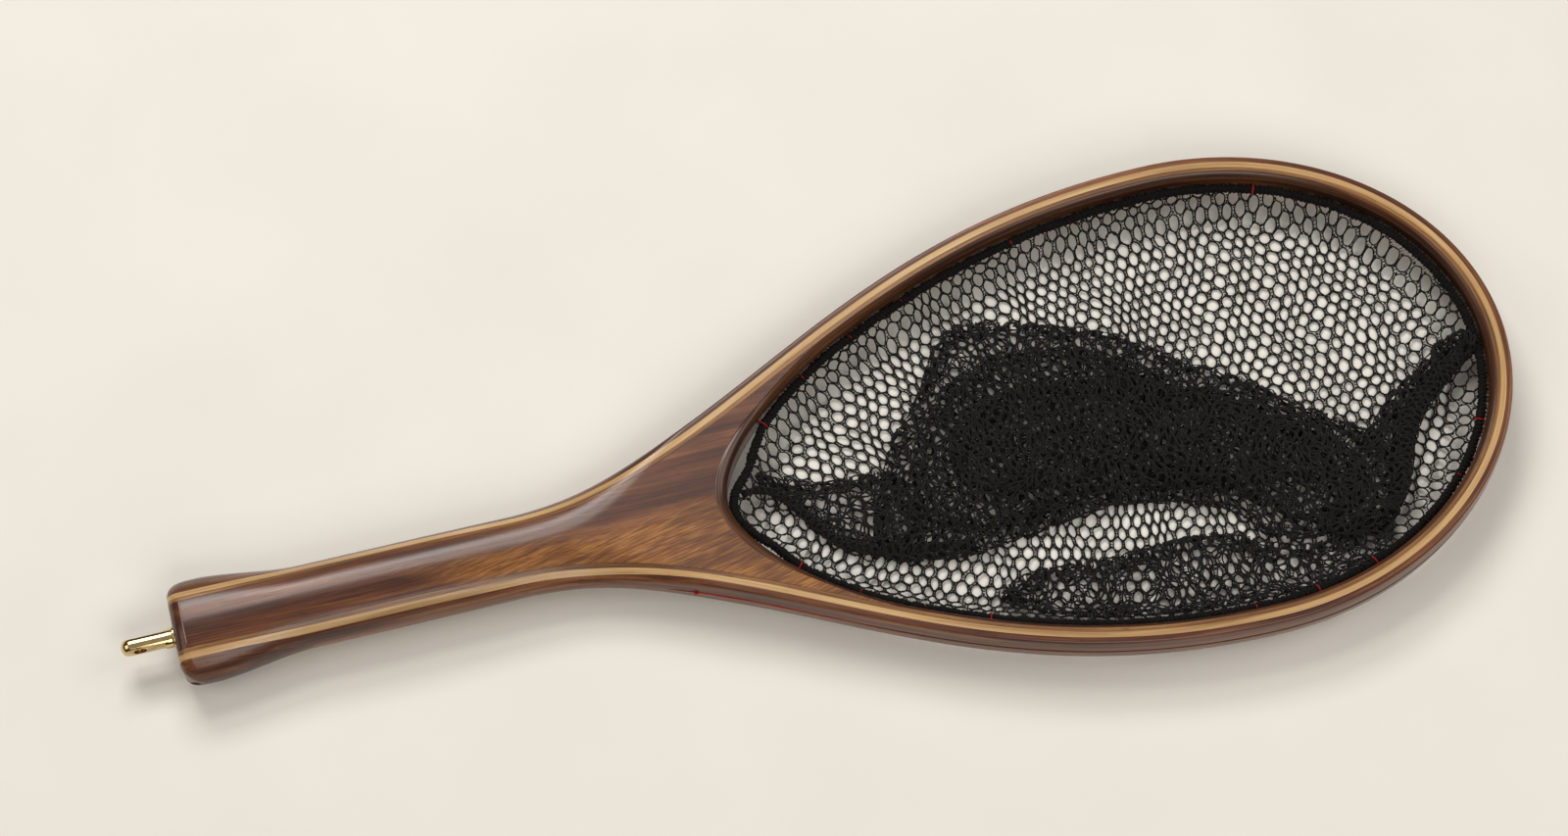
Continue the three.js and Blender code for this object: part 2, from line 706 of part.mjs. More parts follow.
addPart('outer_lamination', drilled(loft(wholeRun.map(outerSection))), walnut);
addPart('pale_lamination', drilled(plainStrip(wholeRun, INNER_GLUE + half, OUTER_GLUE - half)), maple);
addPart('inner_lamination', drilled(plainStrip(wholeRun, RING_GLUE + half, INNER_GLUE - half)), walnut);
addPart('throat_ring', drilled(loft(ringLoop.map(ringSection), true)), ringWood);
const bore = axialRod(-2, BORE_DEPTH, BORE_RADIUS);
addPart('handle_block', drilled(toGeometry(toSolid(handleBlock()).subtract(bore))), darkWalnut);
addPart('butt_cheek_far', cheek(1), walnut);
addPart('butt_cheek_near', cheek(-1), walnut);
addPart('swivel_sleeve', swivelSleeve(), brass);
addPart('swivel_post', swivelPost(), brass);
addPart('swivel_clip', swivelClip(), brass);
addPart('bag_hem', hemCord(), netting);
addPart('bag_panel_far', bagPanel(1), netting);
addPart('bag_panel_near', bagPanel(-1), netting);
addPart('bag_keel_seam', keelSeam(), netting);
addPart('lacing_thread', grooveThread(), redThread);
stitches.forEach((s, i) => {
  addPart(`lacing_stitch_${String(i + 1).padStart(2, '0')}`, stitch(s), redThread);
});

// The origin is under the middle of the whole net.
net.position.x = (POST_LENGTH - (TIP_X + OUTER_FACE + SIDE_CROWN)) / 2;

export default net;
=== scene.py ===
"""Looks of the landing net: varnished strips of wood, knitted netting in a fallen bag, thread and brass.

Shapes are worked out in millimetres in the frame's own plan, where x = 0 is the butt's end face and y = 0 the
mirror plane, and go to the row frame in metres when a mesh is made.
"""
import math
from dataclasses import dataclass

import bpy
import numpy as np
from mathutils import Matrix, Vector


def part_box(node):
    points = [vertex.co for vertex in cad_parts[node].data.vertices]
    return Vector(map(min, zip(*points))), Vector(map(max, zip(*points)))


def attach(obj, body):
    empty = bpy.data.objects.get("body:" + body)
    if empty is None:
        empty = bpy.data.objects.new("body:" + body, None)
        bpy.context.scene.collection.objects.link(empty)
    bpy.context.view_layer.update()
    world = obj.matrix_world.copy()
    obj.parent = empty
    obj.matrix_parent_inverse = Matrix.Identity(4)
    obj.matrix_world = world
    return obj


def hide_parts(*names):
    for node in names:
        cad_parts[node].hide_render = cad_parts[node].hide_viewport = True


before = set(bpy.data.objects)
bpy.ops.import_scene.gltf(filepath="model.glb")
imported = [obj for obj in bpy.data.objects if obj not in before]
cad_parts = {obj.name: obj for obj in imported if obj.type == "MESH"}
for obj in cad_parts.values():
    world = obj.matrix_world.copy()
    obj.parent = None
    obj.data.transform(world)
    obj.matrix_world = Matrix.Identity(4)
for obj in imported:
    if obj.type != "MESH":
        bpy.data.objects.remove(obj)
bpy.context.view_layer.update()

# ---- Dimensions, as in the frame ----

STRIP_HALF = 15.0
NECK_X, NECK_PULL = 158.0, 111.8
WIDEST_X, WIDEST_PULL = 496.0, 162.0
HOOP_HALF = 115.0
TIP_X = 634.0

OUTER_FACE, OUTER_GLUE, INNER_GLUE, RING_GLUE, RING_FACE = 4.6, 1.4, -1.4, -3.4, -5.8
SEAM = 0.03  # half the hairline between two strips

GRIP_HALF_HEIGHT, HOOP_HALF_HEIGHT = 16.0, 9.5
THIN_X = (100.0, 235.0)
MIDDLE_Z = GRIP_HALF_HEIGHT
GRIP_ROLL, GRIP_ROLL_SHARE = STRIP_HALF + OUTER_FACE, 0.95
HOOP_ROLL, HOOP_ROLL_DEPTH = 1.6, 2.0
ROLL_X = (185.0, 255.0)
SIDE_CROWN = 0.5
MOUTH_ROLL, MOUTH_ROLL_DEPTH = 3.6, 4.5
BUTT_ROLL = 6.5

CHEEK, CHEEK_FULL_X, CHEEK_END_X = 5.5, 12.0, 62.0
CHEEK_TRIM = 1.5  # a cheek stops this far short of where it would taper to nothing
BUTT_FLAT_HALF, BUTT_CORNER, BUTT_SETTLE_X = 16.0, 9.0, 24.0

THROAT_X, THROAT_PULL = 261.5, 26.0
THROAT_EXTRA, THROAT_EXTRA_END_X = 3.0, 300.0
THROAT_RISE, THROAT_RISE_WIDTH = 0.8, 1.9
THROAT_ROLL, THROAT_ROLL_X = 6.2, 285.0
RING_JOIN_X, RING_JOIN_PULL = 322.0, 30.0
FLANK_STEPS = 14  # the frame's own steps along the flank, which place the ring's join

GROOVE_X = (224.0, 236.0)
GROOVE_DEPTH, GROOVE_HALF = 1.25, 0.95
THREAD_START_X = 238.0
STITCH_COUNT, STITCH_FIRST_X = 28, 284.0
STITCH_RADIUS, STITCH_STEPS = 0.36, 16
STITCH_LEAD = [3.2, 1.5, -0.2]  # places of a stitch on its way out of the ring, from the ring's inner face
THREAD_RADIUS, THREAD_SIDES = 0.45, 10
HEM_RADIUS, HEM_STANDOFF = 1.6, 1.6

POST_RADIUS, POST_LENGTH = 4.5, 25.5
TONGUE_HALF, TONGUE_START = 2.8, 5.0
EYE_RADIUS, EYE_X = 3.0, -17.0
SHAFT_RADIUS, SHAFT_END = 2.5, 21.5
SLEEVE_RADIUS, SLEEVE_LENGTH = 4.0, 18.0
FLANGE_RADIUS, FLANGE_THICKNESS = 5.6, 1.0
BORE_RADIUS, BORE_DEPTH = 4.3, 23.0

# The frame's outermost point is the tip's outer face, which ties the plan to the row frame.
PLAN_TO_ROW = Vector((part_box("outer_lamination")[1].x * 1000 - (TIP_X + OUTER_FACE + SIDE_CROWN), 0.0, 0.0))

UP = np.array([0.0, 0.0, 1.0])
POINTS_AT_ONCE = 2000
rng = np.random.default_rng(7)

# ---- Small helpers ----


def mix(a, b, share):
    return a + (b - a) * share


def smooth(x, start, end):
    t = np.clip((np.asarray(x, float) - start) / (end - start), 0, 1)
    return t * t * (3 - 2 * t)


def unit(vectors, least=0.0):
    """Vectors divided by their length, or by least where they are shorter than that."""
    return vectors / np.maximum(np.linalg.norm(vectors, axis=-1, keepdims=True), least)


def left_of(way):
    return np.stack([-way[:, 1], way[:, 0]], 1)


def turns(count):
    """Angles of a whole turn in equal steps."""
    return np.linspace(0, 2 * math.pi, count, endpoint=False)


def arc_length(places):
    steps = np.linalg.norm(np.diff(places, axis=0), axis=1)
    return np.concatenate([[0.0], np.cumsum(steps)])


def sampled(at, arc, values):
    """Rows of values that stand at arc, read off at other places along it."""
    return np.stack([np.interp(at, arc, column) for column in values.T], -1)


def pairs(x, y):
    return np.stack([np.ravel(x), np.ravel(y)], 1)


def closest(points, line):
    """Which place of a line is nearest to each point in plan, and how far off it is."""
    best, gap = np.empty(len(points), int), np.empty(len(points))
    for start in range(0, len(points), POINTS_AT_ONCE):
        some = slice(start, start + POINTS_AT_ONCE)
        squares = ((points[some, None] - line[None]) ** 2).sum(2)
        best[some], gap[some] = squares.argmin(1), np.sqrt(squares.min(1))
    return best, gap


def bezier(points, t):
    """Places and directions on a cubic."""
    a, b, c, d = (np.asarray(p, float) for p in points)
    t = np.asarray(t, float)[:, None]
    place = (1 - t) ** 3 * a + 3 * (1 - t) ** 2 * t * b + 3 * (1 - t) * t**2 * c + t**3 * d
    way = 3 * (1 - t) ** 2 * (b - a) + 6 * (1 - t) * t * (c - b) + 3 * t**2 * (d - c)
    return place, unit(way)


def waves(x, y, seed, scale, octaves=3):
    """Soft noise of about unit range: sums of sine waves in seeded directions, with wavelength scale."""
    random = np.random.default_rng(seed)
    total, weight = 0.0, 0.0
    for octave in range(octaves):
        for _ in range(4):
            angle, phase = random.uniform(0, 2 * math.pi, 2)
            k = 2 * math.pi / scale * 1.8**octave * random.uniform(0.75, 1.25)
            total = total + np.sin(k * (x * math.cos(angle) + y * math.sin(angle)) + phase) / 1.6**octave
        weight += 1 / 1.6**octave
    return total / (2 * weight)


@dataclass
class Run:
    """A line in plan with outward normals and arc length."""

    place: np.ndarray
    normal: np.ndarray

    @property
    def arc(self):
        return arc_length(self.place)

    def mirrored(self):
        flip = np.array([1.0, -1.0])
        return Run(self.place * flip, self.normal * flip)

    def reverse(self):
        return Run(self.place[::-1], self.normal[::-1])

    def where(self, keep):
        return Run(self.place[keep], self.normal[keep])

    def moved(self, offset):
        return self.place + self.normal * np.asarray(offset)[..., None]

    def beside(self, offsets):
        """Places at several offsets from each place."""
        return self.place[:, None] + self.normal[:, None] * offsets[..., None]

    def at(self, arcs):
        """The run at given arc lengths."""
        return Run(sampled(arcs, self.arc, self.place), unit(sampled(arcs, self.arc, self.normal)))


def join(*runs):
    return Run(np.vstack([r.place for r in runs]), np.vstack([r.normal for r in runs]))


# ---- Plan of the frame ----

FLANK = ((NECK_X, STRIP_HALF), (NECK_X + NECK_PULL, STRIP_HALF), (WIDEST_X - WIDEST_PULL, HOOP_HALF),
         (WIDEST_X, HOOP_HALF))


def handle_run(xs):
    xs = np.asarray(xs, float)
    return Run(np.stack([xs, np.full_like(xs, STRIP_HALF)], 1), np.tile([0.0, 1.0], (len(xs), 1)))


def flank_run(t):
    place, way = bezier(FLANK, t)
    return Run(place, left_of(way))


def tip_run(t):
    angle = np.asarray(t) * math.pi / 2
    place = np.stack([WIDEST_X + (TIP_X - WIDEST_X) * np.sin(angle), HOOP_HALF * np.cos(angle)], 1)
    normal = np.stack([np.sin(angle) * HOOP_HALF, np.cos(angle) * (TIP_X - WIDEST_X)], 1)
    return Run(place, unit(normal))


def butt_steps(end, count, fine=34):
    """x along the handle, close together where the butt is rolled over."""
    return np.concatenate([BUTT_ROLL * np.linspace(0, 1, fine) ** 2, np.linspace(BUTT_ROLL, end, count)[1:]])


far_side = join(
    handle_run(butt_steps(NECK_X, 60)),
    flank_run(np.linspace(0, 1, 130)[1:]),
    tip_run(np.linspace(0, 1, 90)[1:]),
)
whole_run = join(far_side, far_side.mirrored().reverse().where(slice(1, None)))
fine_run = join(
    handle_run(np.linspace(0, NECK_X, 160)),
    flank_run(np.linspace(0, 1, 700)[1:]),
    tip_run(np.linspace(0, 1, 500)[1:]),
)


def nearest(x, y):
    """Station x and offset from the centre line of places in plan."""
    x, y = np.broadcast_arrays(np.asarray(x, float), np.abs(np.asarray(y, float)))
    points = pairs(x, y)
    best, _ = closest(points, fine_run.place)
    found, normal = fine_run.place[best], fine_run.normal[best]
    offset = ((points - found) * normal).sum(1)
    return found[:, 0].reshape(x.shape), offset.reshape(x.shape)


def cheek_at(x):
    return CHEEK * (1 - smooth(x, CHEEK_FULL_X, CHEEK_END_X))


def half_height(x):
    return mix(GRIP_HALF_HEIGHT, HOOP_HALF_HEIGHT, smooth(x, *THIN_X))


def butt_x(y):
    beyond = np.clip(np.abs(y) - BUTT_FLAT_HALF, 0, BUTT_CORNER)
    return BUTT_CORNER - np.sqrt(BUTT_CORNER**2 - beyond**2)


def rolled(distance, width, share):
    inside = np.clip(distance / width, 0, 1)
    return 1 - share * (1 - np.sqrt(1 - (1 - inside) ** 2))


def skin(x, offset, from_mouth, from_butt):
    """Half height of the wood."""
    height = half_height(x)
    square = smooth(x, *ROLL_X)
    width = mix(GRIP_ROLL + cheek_at(x), HOOP_ROLL, square)
    share = mix(GRIP_ROLL_SHARE, HOOP_ROLL_DEPTH / HOOP_HALF_HEIGHT, square)
    outer = rolled(OUTER_FACE + cheek_at(x) - offset, width, share)
    mouth_width = mix(THROAT_ROLL, MOUTH_ROLL, smooth(x, THROAT_ROLL_X, RING_JOIN_X))
    mouth = rolled(from_mouth, mouth_width, MOUTH_ROLL_DEPTH / HOOP_HALF_HEIGHT)
    return height * outer * mouth * rolled(from_butt, BUTT_ROLL, BUTT_ROLL / height)


def place_on(run, offset, z):
    """Places on a run's sections (runs x section points), moved onto the round butt face at the butt."""
    at = run.beside(np.broadcast_to(offset, z.shape))
    shift = butt_x(at[..., 1]) * (1 - smooth(run.place[:, :1], 0, BUTT_SETTLE_X))
    return np.stack([at[..., 0] + shift, at[..., 1], MIDDLE_Z + z], 2)


# ---- Meshes ----


def add_grain(mesh, grain):
    """Stores where each vertex is along, across and up the grain, in metres."""
    layer = mesh.attributes.get("grain") or mesh.attributes.new("grain", "FLOAT_VECTOR", "POINT")
    layer.data.foreach_set("vector", (np.asarray(grain, float) / 1000).astype(np.float32).ravel())


def linked(name, data):
    made = bpy.data.objects.new(name, data)
    bpy.context.scene.collection.objects.link(made)
    return made


def make_object(name, points, faces, material, body, replaces=(), slot=None, grain=None, sharp=35):
    """A mesh piece that rides on a body and stands for CAD nodes."""
    mesh = bpy.data.meshes.new(name)
    rows = (np.asarray(points, float) + np.array(PLAN_TO_ROW)) / 1000
    faces = [np.asarray(block, np.int32) for block in (faces if isinstance(faces, list) else [faces])]
    sizes = np.concatenate([np.full(len(block), block.shape[1], np.int32) for block in faces])
    corners = np.concatenate([block.ravel() for block in faces])
    mesh.vertices.add(len(rows))
    mesh.vertices.foreach_set("co", rows.astype(np.float32).ravel())
    mesh.loops.add(len(corners))
    mesh.loops.foreach_set("vertex_index", corners)
    mesh.polygons.add(len(sizes))
    mesh.polygons.foreach_set("loop_start", np.concatenate([[0], np.cumsum(sizes)[:-1]]).astype(np.int32))
    mesh.polygons.foreach_set("loop_total", sizes)
    mesh.polygons.foreach_set("use_smooth", np.ones(len(sizes), bool))
    if grain is not None:
        add_grain(mesh, grain)
    mesh.validate()
    mesh.update()
    if sharp:
        mesh.set_sharp_from_angle(angle=math.radians(sharp))
    made = linked(name, mesh)
    mesh.materials.append(material)
    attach(made, body)
    if replaces:
        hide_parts(*replaces)
    return made


def loft_faces(rows, count, closed=False):
    """Quads between successive sections of count points, and end caps unless the run is closed."""
    i = np.arange(rows if closed else rows - 1)[:, None]
    j = np.arange(count)[None]
    here, following = i * count, ((i + 1) % rows) * count
    beside = (j + 1) % count
    quads = np.stack(np.broadcast_arrays(here + j, here + beside, following + beside, following + j), 2)
    faces = [quads.reshape(-1, 4)]
    if not closed:
        ring = np.arange(count)[None]
        faces += [ring[:, ::-1], ring + (rows - 1) * count]
    return faces


def loft(name, sections, material, body, closed=False, grain=None, **more):
    """Skins sections (rows x points x 3) that run clockwise seen along the run."""
    rows, count = sections.shape[:2]
    faces = loft_faces(rows, count, closed)
    return make_object(name, sections.reshape(-1, 3), faces, material, body,
                       grain=None if grain is None else grain.reshape(-1, 3), **more)


def tube(path, radius, sides, closed=False):
    """Sections of a round tube along a path in space; radius may vary along it."""
    path = np.asarray(path, float)
    ahead = np.roll(path, -1, 0) - np.roll(path, 1, 0)
    if not closed:
        ahead[0], ahead[-1] = path[1] - path[0], path[-1] - path[-2]
    ahead = unit(ahead)
    side = np.cross(ahead, UP)
    weak = np.linalg.norm(side, axis=1) < 0.05
    side[weak] = np.cross(ahead[weak], [0.0, 1.0, 0.0])
    side = unit(side)
    up = np.cross(side, ahead)
    angle = turns(sides)
    radius = np.broadcast_to(np.asarray(radius, float), (len(path),))[:, None, None]
    ring = side[:, None] * np.cos(angle)[None, :, None] + up[:, None] * np.sin(angle)[None, :, None]
    return path[:, None] + ring * radius


# ---- Materials ----


def srgb(hex_colour):
    value = [int(hex_colour[i:i + 2], 16) / 255 for i in (0, 2, 4)]
    return [c / 12.92 if c <= 0.04045 else ((c + 0.055) / 1.055) ** 2.4 for c in value] + [1.0]


class Nodes:
    """A short way to write a node tree."""

    def __init__(self, name):
        self.material = bpy.data.materials.new(name)
        self.material.use_nodes = True
        self.tree = self.material.node_tree
        self.shader = self.tree.nodes["Principled BSDF"]

    def add(self, kind, inputs=None, **settings):
        node = self.tree.nodes.new(kind)
        for key, value in settings.items():
            setattr(node, key, value)
        for key, value in (inputs or {}).items():
            self.feed(node.inputs[key], value)
        return node

    def feed(self, socket, value):
        if isinstance(value, bpy.types.NodeSocket):
            self.tree.links.new(value, socket)
        elif isinstance(value, bpy.types.Node):
            self.tree.links.new(value.outputs[0], socket)
        else:
            socket.default_value = value

    def noise(self, vector, scale=1.0, detail=2.0, roughness=0.5, distortion=0.0):
        return self.add("ShaderNodeTexNoise", {"Vector": vector, "Scale": scale, "Detail": detail,
                                               "Roughness": roughness, "Distortion": distortion})

    def stretched(self, vector, scales, place=(0.0, 0.0, 0.0), turn=(0.0, 0.0, 0.0)):
        return self.add("ShaderNodeMapping", {"Vector": vector, "Scale": scales, "Location": place,
                                              "Rotation": turn})

    def ramp(self, value, stops, mode="LINEAR"):
        node = self.add("ShaderNodeValToRGB", {"Fac": value})
        node.color_ramp.interpolation = mode
        while len(node.color_ramp.elements) < len(stops):
            node.color_ramp.elements.new(0.5)
        for element, (at, colour) in zip(node.color_ramp.elements, stops):
            element.position = at
            element.color = colour if not isinstance(colour, str) else srgb(colour)
        return node

    def blend(self, share, a, b, mode="MIX"):
        node = self.add("ShaderNodeMix", data_type="RGBA", blend_type=mode)
        self.feed(node.inputs["Factor"], share)
        self.feed(node.inputs["A"], a)
        self.feed(node.inputs["B"], b)
        return node.outputs["Result"]

    def math(self, operation, a, b=0.0, c=0.0, clamp=False):
        node = self.add("ShaderNodeMath", operation=operation, use_clamp=clamp)
        for socket, value in zip(node.inputs, (a, b, c)):
            self.feed(socket, value)
        return node.outputs[0]

    def range(self, value, low, high, to_low=0.0, to_high=1.0):
        return self.add("ShaderNodeMapRange", {"Value": value, "From Min": low, "From Max": high,
                                               "To Min": to_low, "To Max": to_high}).outputs[0]

    def bump(self, height, strength, distance):
        node = self.add("ShaderNodeBump", {"Height": height, "Strength": strength, "Distance": distance})
        self.feed(self.shader.inputs["Normal"], node)
        return node

    def set(self, **values):
        for key, value in values.items():
            self.feed(self.shader.inputs[key.replace("_", " ")], value)


def wood(name, dark, middle, light, pore, streak=1.0, pores=1.0, seed=0.0, figure=None):
    """Varnished wood. The grain attribute runs along the strip, across it and up."""
    n = Nodes(name)
    grain = n.add("ShaderNodeAttribute", attribute_name="grain").outputs["Vector"]
    shift = (seed, seed * 0.7, seed * 1.3)
    wander = n.noise(n.stretched(grain, (7.0, 60.0, 60.0), shift), detail=1.0)
    bent = n.add("ShaderNodeVectorMath", {0: wander.outputs["Color"], "Scale": 0.004}, operation="SCALE")
    line = n.add("ShaderNodeVectorMath", operation="ADD", inputs={0: grain, 1: bent.outputs[0]}).outputs[0]
    broad = n.noise(n.stretched(line, (9.0, 170.0, 120.0), shift), detail=2.0)
    fine = n.noise(n.stretched(line, (22.0, 1100.0, 700.0), shift), detail=4.0, roughness=0.6)
    tone = n.math("MULTIPLY_ADD", broad.outputs[0], 0.55, n.math("MULTIPLY", fine.outputs[0], 0.45))
    spread = 0.13 * streak
    colour = n.ramp(tone, [(0.5 - spread, dark), (0.5, middle), (0.5 + spread, light)]).outputs[0]
    if figure:
        colour = figure(n, grain, colour)
    fleck = n.noise(n.stretched(line, (150.0, 3600.0, 2600.0), shift), detail=1.0).outputs[0]
    pit = n.range(fleck, 0.60, 0.70)
    colour = n.blend(n.math("MULTIPLY", pit, 0.55 * pores), colour, srgb(pore))
    n.set(Base_Color=colour, Roughness=0.5, Specular_IOR_Level=0.2)
    n.set(Coat_Weight=0.9, Coat_Roughness=0.22, Coat_IOR=1.42)
    relief = n.math("ADD", n.math("MULTIPLY", fine.outputs[0], 0.3), pit)
    n.bump(n.math("MULTIPLY", relief, -1.0), 0.25, 0.00006)
    return n.material


PAINTED_HIGHLIGHT_LINE_X = 5.4  # painted highlight: a fine pale line across the block, by the butt, where the top turns over into the rounded end


def block_figure(n, grain, colour):
    """The block's figure: a golden, rippled near side towards the throat, and darker towards the butt's end;
    with a painted highlight line across it by the butt.
    """
    parts = n.add("ShaderNodeSeparateXYZ", {0: grain})
    x, y = parts.outputs[0], parts.outputs[1]
    edge = n.noise(n.stretched(grain, (16.0, 60.0, 60.0)), detail=3.0).outputs[0]
    along = n.math("ADD", x, n.math("MULTIPLY", n.math("SUBTRACT", edge, 0.5), 0.035))
    leaning = n.math("ADD", along, n.math("MULTIPLY", y, 2.6))
    body = n.range(leaning, 0.098, 0.122)
    upper = n.range(n.math("ADD", y, n.math("MULTIPLY", n.math("SUBTRACT", edge, 0.5), 0.02)), 0.006, -0.004)
    share = n.math("MULTIPLY", body, upper)
    turned = n.stretched(grain, (1.0, 1.0, 1.0), turn=(0.0, 0.0, math.radians(-12)))
    ripple = n.noise(n.stretched(turned, (75.0, 900.0, 300.0)), detail=2.0).outputs[0]
    gold = n.ramp(ripple, [(0.34, "6b3f18"), (0.5, "905a2a"), (0.66, "ad783c")]).outputs[0]
    colour = n.blend(n.math("MULTIPLY", share, 0.85), colour, gold)
    cloud = n.noise(n.stretched(grain, (24.0, 95.0, 95.0), (0.3, 0.1, 0.0)), detail=3.0).outputs[0]
    colour = n.blend(n.range(cloud, 0.42, 0.6, 0.0, 0.5), colour, srgb("442313"))
    colour = n.blend(n.range(x, 0.009, 0.003, 0.0, 0.55), colour, srgb("3a150a"))
    # painted highlight: a thin pale line across the block near the butt, standing in for light caught on the
    # edge of the rounded end
    off_highlight_line = n.math("ABSOLUTE", n.math("SUBTRACT", x, PAINTED_HIGHLIGHT_LINE_X / 1000))
    line = n.math("MULTIPLY", n.range(off_highlight_line, 0.0003, 0.0001), n.range(y, -0.0105, -0.0085))
    return n.blend(n.math("MULTIPLY", line, 0.55), colour, srgb("c9a08c"))


walnut = wood("walnut", "38190b", "5f331a", "865430", "1f0d06", seed=0.21)
maple = wood("maple", "8f6a3e", "be9664", "d8b788", "6a4a28", streak=1.5, pores=0.4, seed=0.63)
inner_walnut = wood("inner_walnut", "4e2e16", "7d522c", "a07444", "2a1208", streak=1.1, seed=0.97)
ring_wood = wood("ring_wood", "2c1508", "4d2a12", "764824", "1b0c05", seed=1.31)
block_walnut = wood("block_walnut", "39190b", "5f3219", "82502f", "1f0d06", seed=1.7, figure=block_figure)
cheek_walnut = wood("cheek_walnut", "32170b", "532c18", "74452a", "1c0c06", seed=2.3)


def polished_brass():
    n = Nodes("brass")
    at = n.add("ShaderNodeTexCoord").outputs["Object"]
    brushed = n.noise(n.stretched(at, (400.0, 3000.0, 3000.0)), detail=2.0).outputs[0]
    smudge = n.noise(at, scale=350.0, detail=3.0).outputs[0]
    n.set(Base_Color=n.ramp(smudge, [(0.3, "d2b67c"), (0.7, "e2cb96")]).outputs[0], Metallic=1.0)
    n.set(Roughness=n.range(brushed, 0.3, 0.7, 0.08, 0.15))
    return n.material


def knitted(name, dark, light, scale, sheen=0.06):
    """Dull knitted yarn."""
    n = Nodes(name)
    at = n.add("ShaderNodeTexCoord").outputs["Object"]
    fuzz = n.noise(at, scale=scale, detail=2.0).outputs[0]
    n.set(Base_Color=n.ramp(fuzz, [(0.35, dark), (0.65, light)]).outputs[0], Roughness=0.82)
    n.set(Sheen_Weight=sheen, Sheen_Roughness=0.4, Specular_IOR_Level=0.15)
    n.bump(fuzz, 0.6, 0.0002)
    return n.material


brass = polished_brass()
netting = knitted("netting", "070706", "24221f", 2600.0, 0.1)
cord_cloth = knitted("hem_cord", "060505", "181512", 1800.0)
red_thread = knitted("red_thread", "84090d", "b81a1b", 5200.0, 0.2)

# ---- Strips ----


def strip_grain(run, offset, z):
    arc = np.broadcast_to(run.arc[:, None], z.shape)
    return np.stack([arc, np.broadcast_to(offset, z.shape), z], 2)


def strip(name, run, offset, z, material, **more):
    loft(name, place_on(run, offset, z), material, "frame", grain=strip_grain(run, offset, z), **more)


def there_and_back(values, sign=1):
    """Section values over the upper face, then over the lower one the other way."""
    return np.concatenate([values, sign * values[:, ::-1]], 1)


def station_height(run, offset):
    x = run.place[:, :1]
    return skin(x, offset, np.inf, x)


def plain_strip(name, inner, outer, material, slot):
    offset = np.linspace(inner, outer, 7)[None]
    top = station_height(whole_run, offset)
    strip(name, whole_run, there_and_back(offset), there_and_back(top, -1), material,
          replaces=[name], slot=slot)


def outer_lamination():
    inner = OUTER_GLUE + SEAM
    near_edge = np.linspace(1, 0, 13) ** 2
    offset = (OUTER_FACE - (OUTER_FACE - inner) * near_edge)[None]
    x = whole_run.place[:, :1]
    top = station_height(whole_run, offset)
    edge = top[:, -1:]
    brow = np.minimum(GROOVE_HALF, edge * 0.2)
    down = np.array([0.85, 0.7, 0.55, 0.4, 0.28])[None]
    turn = np.linspace(0, math.pi, 9)[None]
    crown = SIDE_CROWN * smooth(x, *ROLL_X)
    side_z = edge * down
    side_offset = OUTER_FACE + crown * (1 - down**2)
    groove_z = brow * np.cos(turn)
    depth = GROOVE_DEPTH * smooth(x, *GROOVE_X)
    groove_offset = OUTER_FACE + crown - depth * np.sin(turn) ** 0.6
    z = np.concatenate([top, side_z, groove_z, -side_z[:, ::-1], -top[:, ::-1]], 1)
    offsets = np.concatenate([np.broadcast_to(offset, top.shape), side_offset, groove_offset,
                              side_offset[:, ::-1], np.broadcast_to(offset[:, ::-1], top.shape)], 1)
    strip("outer_lamination", whole_run, offsets, z, walnut, replaces=["outer_lamination"], slot="walnut")


def cheek(name, side):
    run = handle_run(butt_steps(CHEEK_END_X - CHEEK_TRIM, 40))
    inner = OUTER_FACE + SEAM
    width = np.maximum(cheek_at(run.place[:, :1]), 0.05)
    offset = inner + (width - SEAM) * (1 - np.linspace(1, 0, 22)[None] ** 2)
    top = station_height(run, offset)
    offset, z = there_and_back(offset), there_and_back(top, -1)
    if side < 0:
        run, offset, z = run.mirrored(), offset[:, ::-1], z[:, ::-1]
    strip(name, run, offset, z, cheek_walnut, replaces=[name], slot="walnut")


# ---- Ring and block ----

RING_OUTER = RING_GLUE - SEAM
RING_GAP = 0.15  # half the glue line behind the ring
RING_MIDDLE = (RING_GLUE - RING_GAP + RING_FACE) / 2
RING_HALF = (RING_GLUE - RING_GAP - RING_FACE) / 2


def ring_far_run():
    """The ring's centre line on the far side, throat to tip."""
    coarse = flank_run(np.linspace(0, 1, FLANK_STEPS + 1))
    start = int(np.argmax(coarse.moved(RING_MIDDLE)[:, 0] > RING_JOIN_X))
    joint, normal = coarse.moved(RING_MIDDLE)[start], coarse.normal[start]
    way = np.array([-normal[1], normal[0]])
    apex = np.array([THROAT_X - RING_HALF, 0.0])
    place, along = bezier((apex, apex + [0, THROAT_PULL], joint + way * RING_JOIN_PULL, joint),
                          np.linspace(0, 1, 90))
    front = Run(place, left_of(along))
    limb = join(flank_run(np.linspace(start / FLANK_STEPS, 1, 110)[1:]), tip_run(np.linspace(0, 1, 90)[1:]))
    return join(front, Run(limb.moved(RING_MIDDLE), limb.normal))


ring_far = ring_far_run()
ring_loop = join(ring_far, ring_far.mirrored().reverse().where(slice(1, -1)))


def throat_share(x):
    return 1 - smooth(x, THROAT_X, THROAT_EXTRA_END_X)


def ring_back_offset(run):
    return RING_OUTER - RING_MIDDLE + THROAT_EXTRA * throat_share(run.place[:, 0])


